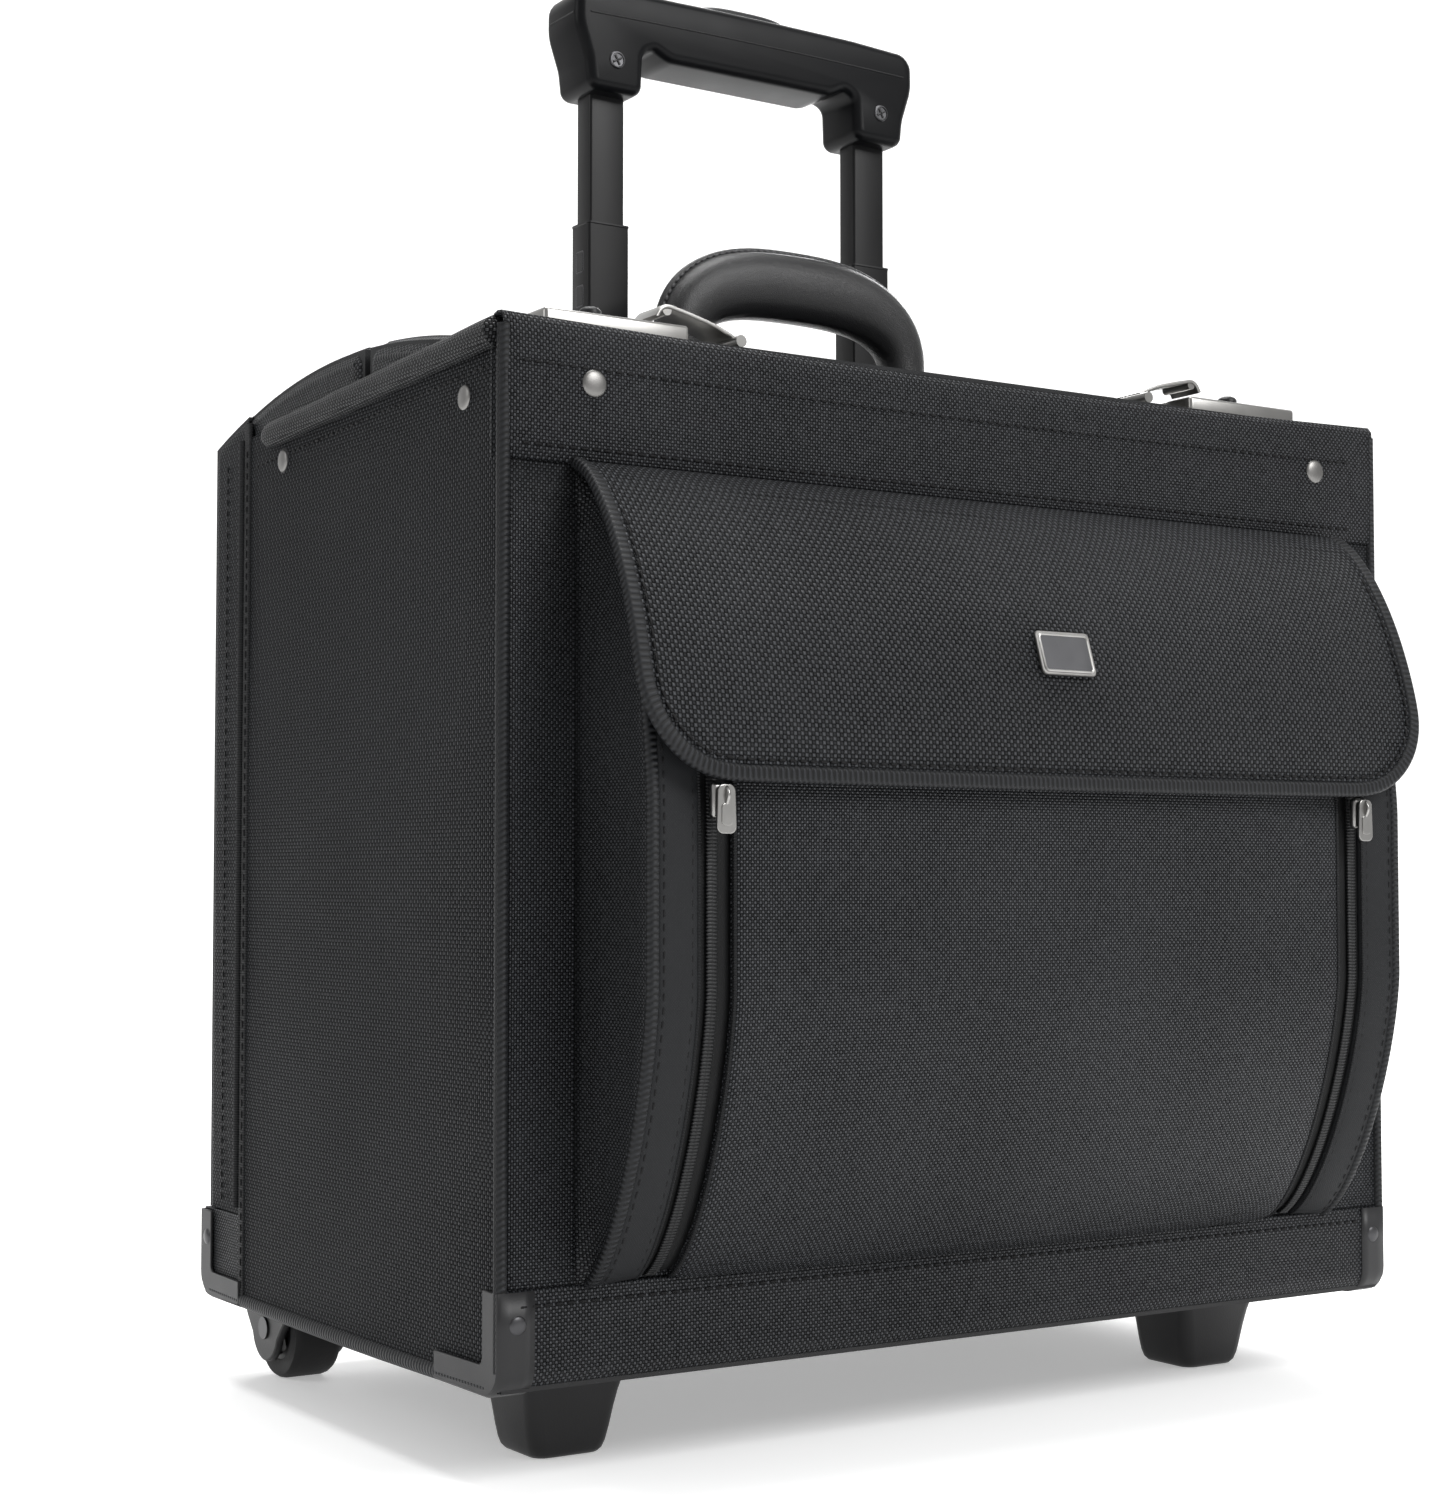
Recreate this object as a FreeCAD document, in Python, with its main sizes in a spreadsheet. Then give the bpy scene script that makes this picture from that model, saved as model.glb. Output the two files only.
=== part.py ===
import FreeCAD, Part
import math
import os

import Sketcher

# A wheeled, hard-sided case for a pilot: a boarded box with a hinged front lid, a fixed rear deck,
# a flapped front pocket, a rear door, a two-stage trolley, a carry handle, two feet and two wheels.
# Frame: +X to the right seen from the front, +Y to the case's back, +Z up, origin on the
# floor at the middle of the whole outline. Lengths are in millimetres.

SIZES = {
    # the boarded body
    "body_width": 457.0,
    "body_depth": 286.0,
    "body_height": 398.0,
    "floor_gap": 38.0,
    "board": 3.0,
    "base_board": 5.0,
    "cover": 1.6,
    "rim_step": 12.0,
    "rim_height": 58.0,
    "rim_bar": 4.4,
    "crown_rise": 10.0,
    "crown_sag": 21.58,
    "crown_shift": 6.0,
    "slack": 0.4,
    "lid_front": 9.6,
    "door_depth": 40.0,
    "sill_height": 38.0,
    # hinge of the lid
    "hinge_setback": 18.5,
    "hinge_gap": 1.0,
    "hinge_rise": 3.15,
    "knuckle_radius": 2.4,
    "hinge_pin_radius": 1.0,
    "pin_play": 0.05,
    "leaf_width": 4.4,
    "leaf_thick": 1.55,
    "tab_width": 3.4,
    "leaf_sink": 0.5,
    "knuckle_count": 9.0,
    "hinge_inset": 28.5,
    # padded rolls, rivets and corner guards
    "roll_radius": 6.0,
    "roll_proud": 5.0,
    "roll_start": 10.0,
    "roll_setback": 64.0,
    "roll_front_drop": 7.0,
    "roll_back_drop": 15.5,
    "rivet_radius": 5.5,
    "rivet_proud": 2.0,
    "rivet_inset": 38.0,
    "front_rivet_drop": 24.0,
    "side_rivet_drop": 28.0,
    "side_rivet_start": 31.0,
    "side_rivet_setback": 82.5,
    "guard_height": 37.0,
    "guard_thick": 1.2,
    "guard_front": 13.5,
    "guard_side": 11.0,
    "guard_leg": 50.0,
    "guard_leg_height": 9.5,
    "guard_back_leg": 43.0,
    "guard_rivet_height": 25.0,
    "guard_rivet_radius": 3.4,
    "guard_rivet_proud": 1.2,
    # feet and wheels
    "foot_inset": 58.0,
    "foot_width": 40.0,
    "foot_depth": 37.0,
    "foot_start": 45.0,
    "foot_taper": 4.0,
    "wheel_radius": 23.0,
    "wheel_width": 22.0,
    "wheel_inset": 35.0,
    "wheel_setback": 27.0,
    "hub_radius": 14.5,
    "axle_radius": 3.0,
    "wheel_gap": 2.5,
    "wheel_play": 1.5,
    "housing_wall": 4.0,
    "housing_drop": 30.0,
    "housing_foot": 14.0,
    # front pocket, flap and zips
    "pocket_inset": 35.0,
    "pocket_depth": 46.5,
    "pocket_bottom": 37.0,
    "pocket_drop": 44.0,
    "pocket_wall": 2.5,
    "pocket_curl": 110.0,
    "pocket_head_drop": 6.0,
    "pocket_shoulder": 123.0,
    "band_height": 54.0,
    "flap_inset": 27.5,
    "flap_drop": 121.0,
    "flap_hem": 12.0,
    "flap_clear": 8.5,
    "flap_thick": 3.0,
    "flap_round": 38.0,
    "flap_stand": 1.5,
    "badge_width": 28.0,
    "badge_height": 18.0,
    "badge_fall": 7.0,
    "badge_thick": 1.2,
    "badge_stand": 0.6,
    "zip_inset": 28.6,
    "zip_tape_width": 18.0,
    "zip_tape_thick": 1.0,
    "slider_width": 9.0,
    "slider_height": 12.0,
    "slider_thick": 4.0,
    "slider_drop": 1.5,
    "slider_lug": 1.6,
    "soft_gap": 0.3,
    "pull_width": 8.5,
    "pull_length": 17.0,
    "pull_thick": 1.4,
    "pull_drop": 2.2,
    "pull_pin_radius": 0.9,
    # carry handle, with heights above the crown
    "handle_setback": 49.0,
    "handle_width": 146.0,
    "handle_leg": 19.5,
    "handle_rise": 71.0,
    "handle_lift": 5.5,
    "handle_inner_rise": 38.0,
    "handle_thick": 24.0,
    "handle_round": 38.0,
    "handle_inner_round": 22.0,
    "handle_foot_round": 10.0,
    "handle_pivot_rise": 12.0,
    "handle_pin_radius": 2.5,
    "bracket_depth": 22.0,
    "bracket_ear": 3.0,
    "bracket_ear_rise": 18.0,
    "bracket_plate_rise": 2.4,
    # locks on the lid, measured inwards from the lock's outer end and up from the crown
    "lock_inset": 28.5,
    "lock_length": 65.5,
    "lock_plate_length": 96.0,
    "lock_start": 20.0,
    "lock_width": 30.0,
    "lock_rise": 1.0,
    "lock_plate_drop": 8.4,
    "lever_pivot": 90.5,
    "lever_drop": 4.4,
    "lever_tip": 58.0,
    "lever_tip_rise": 8.0,
    "lever_thick": 3.0,
    "lever_width": 19.0,
    "lever_pin_radius": 1.6,
    "lever_eye_wall": 1.6,
    "knob_place": 28.5,
    "knob_radius": 4.6,
    "knob_travel": 3.0,
    "knob_length": 6.8,
    "knob_proud": 3.6,
    # trolley, with its visible heights above the crown
    "trolley_setback": 94.0,
    "channel_width": 46.0,
    "tube_spread": 75.5,
    "mid_wide": 22.0,
    "mid_deep": 16.0,
    "upper_wide": 18.8,
    "upper_deep": 12.8,
    "tube_wall": 1.2,
    "mid_rise": 84.0,
    "mid_bottom": 140.0,
    "upper_bottom": 205.0,
    "sleeve_bottom": 8.0,
    "sleeve_play": 0.4,
    "window_wide": 3.0,
    "window_tall": 9.0,
    "window_drop": 22.0,
    "window_pitch": 16.0,
    "well_play_wide": 6.0,
    "well_play_deep": 4.0,
    "well_sink": 52.0,
    "well_wall": 2.5,
    # trolley grip
    "grip_wide": 194.0,
    "grip_deep": 32.0,
    "upper_show": 60.0,
    "grip_leg_wide": 28.0,
    "grip_leg_tall": 23.0,
    "grip_bar_tall": 27.0,
    "grip_haunch": 4.0,
    "grip_round": 9.0,
    "grip_roof": 11.0,
    "socket_stop": 3.0,
    "cavity_deep": 8.4,
    "button_wide": 49.0,
    "button_deep": 17.0,
    "button_proud": 4.5,
    "button_sunk": 5.0,
    "button_travel": 4.0,
    "button_play": 0.6,
    "stem_wide": 14.0,
    "link_deep": 6.0,
    "link_tall": 6.0,
    "link_lift": 3.0,
    "rod_radius": 2.0,
    "rod_bottom": 215.0,
    "screw_radius": 4.0,
    "screw_proud": 0.6,
    "screw_sunk": 1.6,
    "screw_place": 14.0,
}

doc = FreeCAD.newDocument("rolling_flight_case")
sheet = doc.addObject("Spreadsheet::Sheet", "Sizes")
for row, (alias, number) in enumerate(SIZES.items(), start=1):
    sheet.set(f"A{row}", alias)
    sheet.set(f"B{row}", str(number))
    sheet.setAlias(f"B{row}", alias)
doc.recompute()

X_AXIS = FreeCAD.Vector(1, 0, 0)
Y_AXIS = FreeCAD.Vector(0, 1, 0)
Z_AXIS = FreeCAD.Vector(0, 0, 1)


class Size:
    """A length that carries its number and the spreadsheet expression that gives it."""

    def __init__(self, number, text):
        self.number = number
        self.text = text

    def joined(self, other, sign, number):
        return Size(number, f"({self.text} {sign} {as_size(other).text})")

    def __add__(self, other):
        return self.joined(other, "+", self.number + as_size(other).number)

    def __sub__(self, other):
        return self.joined(other, "-", self.number - as_size(other).number)

    def __mul__(self, other):
        return self.joined(other, "*", self.number * as_size(other).number)

    def __truediv__(self, other):
        return self.joined(other, "/", self.number / as_size(other).number)

    def __neg__(self):
        return Size(-self.number, f"(0 - {self.text})")

    def __radd__(self, other):
        return as_size(other) + self

    def __rsub__(self, other):
        return as_size(other) - self

    def __rmul__(self, other):
        return as_size(other) * self


def as_size(value):
    """A plain number as a Size; a Size as it is."""
    if isinstance(value, Size):
        return value
    return Size(float(value), f"{float(value)}")


def size(alias):
    """One driving dimension, bound to its cell."""
    return Size(float(sheet.get(alias)), f"Sizes.{alias}")


def root(value):
    """The square root of a Size."""
    return Size(value.number**0.5, f"sqrt({value.text})")


def depth(alias):
    """The place along Y of a depth that the sheet measures from the front face."""
    return FRONT + size(alias)


def level(alias):
    """The place along Z of a height that the sheet measures from the body's underside."""
    return BASE + size(alias)


BOARD = size("board")
COVER = size("cover")
SLACK = size("slack")
PLAY = size("pin_play")

# across the case
HALF = size("body_width") / 2
INNER = HALF - COVER - BOARD
POCKET_HALF = HALF - size("pocket_inset")
ZIP_X = POCKET_HALF - size("zip_inset")
LOCK_OUTER = HALF - size("lock_inset")
LEVER_X = LOCK_OUTER - size("lever_pivot")
WHEEL_X = HALF - size("wheel_inset")
TUBE_X = size("tube_spread")
HANDLE_HALF = size("handle_width") / 2
HANDLE_INNER = HANDLE_HALF - size("handle_leg")

# from the front to the back
FLAP_REACH = size("pocket_depth") + size("flap_clear")
FRONT = (FLAP_REACH - size("body_depth") - size("guard_thick")) / 2
BACK = depth("body_depth")
DOOR_LINE = BACK - size("door_depth")
TROLLEY = BACK - size("trolley_setback")
HANDLE_Y = TROLLEY - size("handle_setback")
HINGE_Y = HANDLE_Y - size("hinge_setback")
LID_BACK = HINGE_Y - size("hinge_gap")
DECK_FRONT = HINGE_Y + size("hinge_gap")
BULKHEAD = TROLLEY - size("channel_width") / 2 - BOARD
WHEEL_Y = BACK - size("wheel_setback")

# from the floor up
BASE = size("floor_gap")
BASE_TOP = BASE + size("base_board")
TOP = level("body_height")
SIDE_TOP = TOP - size("rim_step")
SILL_TOP = level("sill_height")
SEAM = TOP - size("band_height")
FLAP_BOTTOM = SEAM - size("flap_drop")
POCKET_TOP = SEAM - size("pocket_drop")
POCKET_HEAD = SEAM - size("pocket_head_drop")
PULL_Z = FLAP_BOTTOM - size("pull_drop")
CROWN_TOP = TOP + size("crown_rise")
HANDLE_Z = CROWN_TOP + size("handle_pivot_rise")
LEVER_Z = CROWN_TOP - size("lever_drop")
LOCK_TOP = CROWN_TOP + size("lock_rise")
LOCK_PLATE_TOP = CROWN_TOP - size("lock_plate_drop")
WELL_FLOOR = CROWN_TOP - size("well_sink")
MID_TOP = CROWN_TOP + size("mid_rise")
GRIP_LEG = MID_TOP + size("upper_show")
GRIP_BAR = GRIP_LEG + size("grip_leg_tall")
GRIP_TOP = GRIP_BAR + size("grip_bar_tall")
SOCKET_TOP = GRIP_BAR - size("socket_stop")
CAVITY_TOP = GRIP_TOP - size("grip_roof")
BUTTON_BASE = GRIP_TOP - size("button_sunk")
LINK_LOW = GRIP_BAR + size("link_lift")

# the crown is one arc across the depth, highest a little behind the middle
CROWN_Y = FRONT + size("body_depth") / 2 + size("crown_shift")
CROWN_REACH = CROWN_Y - depth("lid_front")
CROWN_RADIUS = (CROWN_REACH * CROWN_REACH + size("crown_sag") * size("crown_sag")) / (
    size("crown_sag") * 2
)
CROWN_Z = CROWN_TOP - CROWN_RADIUS
HINGE_SHIFT = HINGE_Y - CROWN_Y
HINGE_SEAT = CROWN_Z + root(CROWN_RADIUS * CROWN_RADIUS - HINGE_SHIFT * HINGE_SHIFT)
HINGE_Z = HINGE_SEAT + size("hinge_rise")

# pocket and flap bulge in side view as superellipses, drawn in this many straight steps
CURL_STEPS = 10
HEAD_POWER = 1.6
FOOT_POWER = 1.5
# steps of the bulge at which the zip tapes end and on which the badge sits
TAPE_TOP = 5
TAPE_FOOT = 8
BADGE_STEP = 3
# windows down the outer side of each lower tube
WINDOWS = 2
# how far a cutting shape overshoots the face it opens
OVERSHOOT = 1.0
# how far an edge may be from the place it is looked for
NEAR = 1.0
nodes = []


def bind(item, name, value):
    """Bind one property to the expression of a Size."""
    item.setExpression(name, as_size(value).text)


def block(name, x, y, z):
    """A box from its (low, high) along each axis."""
    item = doc.addObject("Part::Box", name)
    for side, place, (low, high) in zip(("Length", "Width", "Height"), "xyz", (x, y, z)):
        bind(item, side, as_size(high) - low)
        bind(item, f"Placement.Base.{place}", low)
    return item


def rod(name, axis, x, y, z, radius):
    """A cylinder along one axis, whose own axis coordinate is a (low, high) pair."""
    turns = {"x": (Y_AXIS, 90), "y": (X_AXIS, -90), "z": (Z_AXIS, 0)}
    item = doc.addObject("Part::Cylinder", name)
    item.Placement.Rotation = FreeCAD.Rotation(*turns[axis])
    for place, value in zip("xyz", (x, y, z)):
        if place == axis:
            bind(item, "Height", as_size(value[1]) - value[0])
            value = value[0]
        bind(item, f"Placement.Base.{place}", value)
    bind(item, "Radius", radius)
    return item


def fuse(name, *pieces):
    """All the pieces as one shape."""
    item = doc.addObject("Part::MultiFuse", name)
    item.Shapes = list(pieces)
    return item


def group(name, *pieces):
    """Separate solids kept together in one node."""
    item = doc.addObject("Part::Compound", name)
    item.Links = list(pieces)
    return item


def common(name, *pieces):
    """What all the pieces share."""
    item = doc.addObject("Part::MultiCommon", name)
    item.Shapes = list(pieces)
    return item


def cut(name, base, *tools):
    """The base without the tools."""
    item = doc.addObject("Part::Cut", name)
    item.Base = base
    item.Tool = tools[0] if len(tools) == 1 else fuse(f"{name}_tools", *tools)
    return item


def node(item, name):
    """Name a finished sub-part."""
    item.Label = name
    nodes.append(item)
    return item


def extrude(name, plane, outline, span):
    """A body padded from a closed outline on an origin plane, between the two ends of span."""
    body = doc.addObject("PartDesign::Body", name)
    sketch = body.newObject("Sketcher::SketchObject", f"{name}_sketch")
    origin = [part for part in body.Origin.OriginFeatures if part.Role == plane][0]
    sketch.AttachmentSupport = (origin, [""])
    sketch.MapMode = "FlatFace"
    start = -as_size(span[1]) if plane == "XZ_Plane" else as_size(span[0])
    bind(sketch, "AttachmentOffset.Base.z", start)
    corners = [(as_size(u), as_size(v)) for u, v in outline]
    points = [FreeCAD.Vector(u.number, v.number, 0) for u, v in corners]
    for here, there in zip(points, points[1:] + points[:1]):
        sketch.addGeometry(Part.LineSegment(here, there))
    for index, (u, v) in enumerate(corners):
        after = (index + 1) % len(corners)
        sketch.addConstraint(Sketcher.Constraint("Coincident", index, 2, after, 1))
        for kind, value in (("DistanceX", u), ("DistanceY", v)):
            rule = Sketcher.Constraint(kind, -1, 1, index, 1, value.number)
            number = sketch.addConstraint(rule)
            bind(sketch, f"Constraints[{number}]", value)
    pad = body.newObject("PartDesign::Pad", f"{name}_pad")
    pad.Profile = sketch
    bind(pad, "Length", as_size(span[1]) - span[0])
    doc.recompute()
    return body


def soften(body, radius, wanted):
    """Round the edges of a body's last feature for which wanted(edge) is true."""
    base = body.Tip
    names = [f"Edge{n}" for n, edge in enumerate(base.Shape.Edges, start=1) if wanted(edge)]
    fillet = body.newObject("PartDesign::Fillet", f"{body.Name}_round{len(body.Group)}")
    fillet.Base = (base, names)
    bind(fillet, "Radius", radius)
    doc.recompute()
    return body


def runs_along(edge, axis):
    """Whether a straight edge is parallel to an axis."""
    if edge.Curve.TypeId != "Part::GeomLine":
        return False
    return abs(edge.Curve.Direction.dot(axis)) > 0.999


def middle(edge):
    """The centre of an edge."""
    return edge.BoundBox.Center


def sided(side, near, far):
    """The (low, high) along X of something between near and far from the middle of the case."""
    return (-as_size(far), -as_size(near)) if side == "left" else (near, far)


def mirror_x(side, place):
    """A place along X on the named side."""
    return -place if side == "left" else place


def crowned(name, x, y, z_low, inset):
    """A block whose top is the case's crown, lowered by inset."""
    box = block(f"{name}_box", x, y, (z_low, CROWN_TOP))
    crown = rod(f"{name}_crown", "x", x, CROWN_Y, CROWN_Z, CROWN_RADIUS - inset)
    return common(name, box, crown)


def crowned_shell(name, x_half, y, z_low, inset, wall):
    """A crowned cap that is open underneath, with walls all round."""
    outer = crowned(f"{name}_outer", (-x_half, x_half), y, z_low, inset)
    inner_x = (wall - x_half, x_half - wall)
    inner_y = (as_size(y[0]) + wall, as_size(y[1]) - wall)
    inner = crowned(f"{name}_inner", inner_x, inner_y, z_low, as_size(inset) + wall)
    return outer, inner


# --- the boarded box -----------------------------------------------------------------------------

def build_walls():
    front_top = TOP
    side_top = SIDE_TOP
    base_top = BASE_TOP
    node(block("front_cover", (-HALF, HALF), (FRONT, FRONT + COVER), (BASE, front_top)), "front_cover")
    node(
        block("front_board", (-INNER, INNER), (FRONT + COVER, FRONT + COVER + BOARD),
              (base_top, front_top - COVER)),
        "front_board",
    )
    for side in ("left", "right"):
        node(
            block(f"side_cover_{side}", sided(side, HALF - COVER, HALF),
                  (FRONT + COVER, DOOR_LINE), (BASE, side_top)),
            f"side_cover_{side}",
        )
        node(
            block(f"side_board_{side}", sided(side, INNER, HALF - COVER),
                  (FRONT + COVER, DOOR_LINE), (base_top, side_top)),
            f"side_board_{side}",
        )
    bulkhead_y = (BULKHEAD, BULKHEAD + BOARD)
    channel_y = (bulkhead_y[1] + size("channel_width"), bulkhead_y[1] + size("channel_width") + BOARD)
    for name, y in (("bulkhead", bulkhead_y), ("channel_board", channel_y)):
        node(block(name, (-INNER, INNER), y, (base_top, side_top)), name)
    rim_y = (FRONT + COVER + BOARD, FRONT + COVER + BOARD + size("rim_bar"))
    node(
        block("front_rim", (-INNER, INNER), rim_y, (front_top - size("rim_height"), front_top - COVER)),
        "front_rim",
    )


def wheel_bay(side):
    """The box in the base that a wheel and its housing take up."""
    middle_x = WHEEL_X
    reach = size("wheel_width") / 2 + size("wheel_gap") + size("housing_wall")
    round_y = size("wheel_radius") + size("wheel_gap")
    top = BASE - size("floor_gap") + size("wheel_radius") * 2 + size("wheel_gap")
    x = sided(side, middle_x - reach, middle_x + reach)
    y = (WHEEL_Y - round_y, WHEEL_Y + round_y)
    return x, y, top


def build_base():
    board = block("base_sheet", (COVER - HALF, HALF - COVER), (FRONT + COVER, BACK),
                  (BASE, BASE + size("base_board")))
    bays = []
    for side in ("left", "right"):
        x, y, top = wheel_bay(side)
        bays.append(block(f"bay_{side}", x, y, (BASE - OVERSHOOT, top)))
    node(cut("base_board", board, *bays), "base_board")

    sill_top = SILL_TOP
    sill_y = (DOOR_LINE, BACK)
    sill_outer = block("sill_outer", (-HALF, HALF), sill_y, (BASE + size("base_board"), sill_top))
    sill_inner = block("sill_inner", (-INNER, INNER), (sill_y[0], BACK - COVER - BOARD),
                       (BASE + size("base_board"), sill_top))
    notches = [block(f"sill_bay_{side}", *wheel_bay(side)[:2], (BASE, wheel_bay(side)[2]))
               for side in ("left", "right")]
    node(cut("rear_sill", sill_outer, sill_inner, *notches), "rear_sill")


def well_box(name, grow, low, high):
    """A box on the trolley's line, as large as the well, grown by grow on every side."""
    half_x = size("grip_wide") / 2 + size("well_play_wide") + grow
    half_y = size("grip_deep") / 2 + size("well_play_deep") + grow
    return block(name, (-half_x, half_x), (TROLLEY - half_y, TROLLEY + half_y), (low, high))


def build_deck():
    low = SIDE_TOP
    y = (DECK_FRONT, DOOR_LINE)
    outer, hollow = crowned_shell("deck_skin", HALF - COVER, y, low, 0, COVER)
    top = CROWN_TOP
    opening = well_box("deck_skin_opening", 0, low, top)
    node(cut("deck_cover", outer, hollow, opening), "deck_cover")
    inset_y = (y[0] + COVER, y[1] - COVER)
    outer, hollow = crowned_shell("deck_frame", HALF - COVER * 2, inset_y, low, COVER, BOARD)
    opening = well_box("deck_frame_opening", 0, low, top)
    node(cut("deck_board", outer, hollow, opening), "deck_board")


def build_lid():
    low = SIDE_TOP + SLACK
    y = (depth("lid_front"), LID_BACK)
    outer, hollow = crowned_shell("lid_skin", HALF - COVER, y, low, 0, COVER)
    node(cut("lid_cover", outer, hollow), "lid_cover")
    inset_y = (y[0] + COVER, y[1] - COVER)
    outer, hollow = crowned_shell("lid_frame", HALF - COVER * 2, inset_y, low, COVER, BOARD)
    node(cut("lid_board", outer, hollow), "lid_board")


def build_lid_hinge():
    """A continuous hinge: odd knuckles belong to the deck's leaf, even ones to the lid's leaf."""
    axis_y = HINGE_Y
    axis_z = HINGE_Z
    half = HALF - size("hinge_inset")
    radius = size("knuckle_radius")
    pin = size("hinge_pin_radius")
    leaf_low = HINGE_SEAT - size("leaf_sink")
    count = int(size("knuckle_count").number)
    pitch = half * 2 / count
    leaves = {"deck": [], "lid": []}
    for index in range(count):
        owner = "lid" if index % 2 else "deck"
        x = (pitch * index - half + SLACK / 2, pitch * (index + 1) - half - SLACK / 2)
        barrel = rod(f"knuckle_{index}", "x", x, axis_y, axis_z, radius)
        tab_end = axis_y + size("tab_width") if owner == "deck" else axis_y - size("tab_width")
        reach = (axis_y, tab_end) if owner == "deck" else (tab_end, axis_y)
        tab = block(f"tab_{index}", x, reach, (leaf_low, axis_z - pin - SLACK))
        leaves[owner] += [barrel, tab]
    edge = radius + SLACK
    width = size("leaf_width")
    plates = {
        "deck": (axis_y + edge, axis_y + edge + width),
        "lid": (axis_y - edge - width, axis_y - edge),
    }
    for owner, pieces in leaves.items():
        x = (-half, half)
        plate = block(f"{owner}_leaf_plate", x, plates[owner], (leaf_low, leaf_low + size("leaf_thick")))
        play = as_size(0) if owner == "deck" else size("pin_play")
        bore = rod(f"{owner}_leaf_bore", "x", x, axis_y, axis_z, pin + play)
        crown = rod(f"{owner}_leaf_seat", "x", x, CROWN_Y, CROWN_Z, CROWN_RADIUS)
        leaf = fuse(f"{owner}_leaf_solid", plate, *pieces)
        node(cut(f"{owner}_leaf", leaf, bore, crown), f"{owner}_leaf")
    node(rod("hinge_pin", "x", (-half, half), axis_y, axis_z, pin), "hinge_pin")


# --- trim on the outside -------------------------------------------------------------------------

def build_rolls():
    """A padded roll along the top of each side, falling gently towards the back."""
    fall = size("roll_back_drop") - size("roll_front_drop")
    run = BACK - size("roll_setback") - depth("roll_start")
    direction = FreeCAD.Vector(0, run.number, -fall.number)
    rolls = []
    for side in ("left", "right"):
        axis_x = mirror_x(side, HALF + size("roll_proud") - size("roll_radius"))
        roll = doc.addObject("Part::Cylinder", f"roll_core_{side}")
        roll.Placement.Rotation = FreeCAD.Rotation(Z_AXIS, direction)
        bind(roll, "Radius", size("roll_radius"))
        bind(roll, "Height", root(run * run + fall * fall))
        bind(roll, "Placement.Base.x", axis_x)
        bind(roll, "Placement.Base.y", depth("roll_start"))
        bind(roll, "Placement.Base.z", TOP - size("roll_front_drop"))
        inside = block(f"roll_trim_{side}", sided(side, INNER - size("roll_radius"), HALF),
                       (FRONT, BACK), (SEAM, CROWN_TOP + size("roll_radius")))
        rolls.append(cut(f"roll_{side}", roll, inside))
    node(group("rim_rolls", *rolls), "rim_rolls")


def build_rivets():
    """Domed rivets: two on the front band and two on each side."""
    proud = size("rivet_proud")
    radius = size("rivet_radius")
    rivets = []
    for side in ("left", "right"):
        x = mirror_x(side, HALF - size("rivet_inset"))
        rivets.append(rod(f"front_rivet_{side}", "y", x, (FRONT - proud, FRONT),
                          TOP - size("front_rivet_drop"), radius))
        for place, y in (("front", depth("side_rivet_start")), ("back", BACK - size("side_rivet_setback"))):
            rivets.append(rod(f"side_rivet_{place}_{side}", "x", sided(side, HALF, HALF + proud),
                              y, TOP - size("side_rivet_drop"), radius))
    node(group("rim_rivets", *rivets), "rim_rivets")


def build_guards():
    """Bent sheet guards on the four bottom corners, each held by a rivet."""
    thick = size("guard_thick")
    tall = level("guard_height")
    rivets = []
    for side in ("left", "right"):
        side_x = sided(side, HALF, HALF + thick)
        face_x = sided(side, HALF - size("guard_front"), HALF + thick)
        for place in ("front", "back"):
            name = f"corner_guard_{place}_{side}"
            if place == "front":
                face_y = (FRONT - thick, FRONT)
                edge_y = (FRONT - thick, FRONT + size("guard_side"))
                leg_y = (FRONT - thick, FRONT + size("guard_leg"))
                rivet = rod(f"{name}_rivet", "y", mirror_x(side, HALF - size("guard_front") / 2),
                            (FRONT - thick - size("guard_rivet_proud"), FRONT - thick),
                            level("guard_rivet_height"), size("guard_rivet_radius"))
            else:
                face_y = (BACK, BACK + thick)
                edge_y = (BACK - size("guard_side"), BACK + thick)
                leg_y = (BACK - size("guard_back_leg"), BACK + thick)
                outside = sided(side, HALF + thick, HALF + thick + size("guard_rivet_proud"))
                rivet = rod(f"{name}_rivet", "x", outside, BACK - size("guard_side") / 2,
                            level("guard_rivet_height"), size("guard_rivet_radius"))
            face = block(f"{name}_face", face_x, face_y, (BASE - thick, tall))
            edge = block(f"{name}_edge", side_x, edge_y, (BASE - thick, tall))
            leg = block(f"{name}_leg", side_x, leg_y, (BASE - thick, level("guard_leg_height")))
            sole = block(f"{name}_sole", face_x, leg_y, (BASE - thick, BASE))
            node(fuse(name, face, edge, leg, sole), name)
            rivets.append(rivet)
    node(group("guard_rivets", *rivets), "guard_rivets")


# --- feet and wheels -----------------------------------------------------------------------------

def build_feet():
    """Moulded feet that taper towards the floor."""
    half = size("foot_width") / 2
    taper = size("foot_taper")
    for side in ("left", "right"):
        x = mirror_x(side, HALF - size("foot_inset"))
        outline = [
            (x - half, BASE),
            (x - half + taper, 0),
            (x + half - taper, 0),
            (x + half, BASE),
        ]
        y = (depth("foot_start"), depth("foot_start") + size("foot_depth"))
        foot = extrude(f"foot_{side}", "XZ_Plane", outline, y)
        soften(foot, taper, lambda edge: abs(middle(edge).z - BASE.number / 2) < NEAR)
        node(foot, f"foot_{side}")


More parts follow.
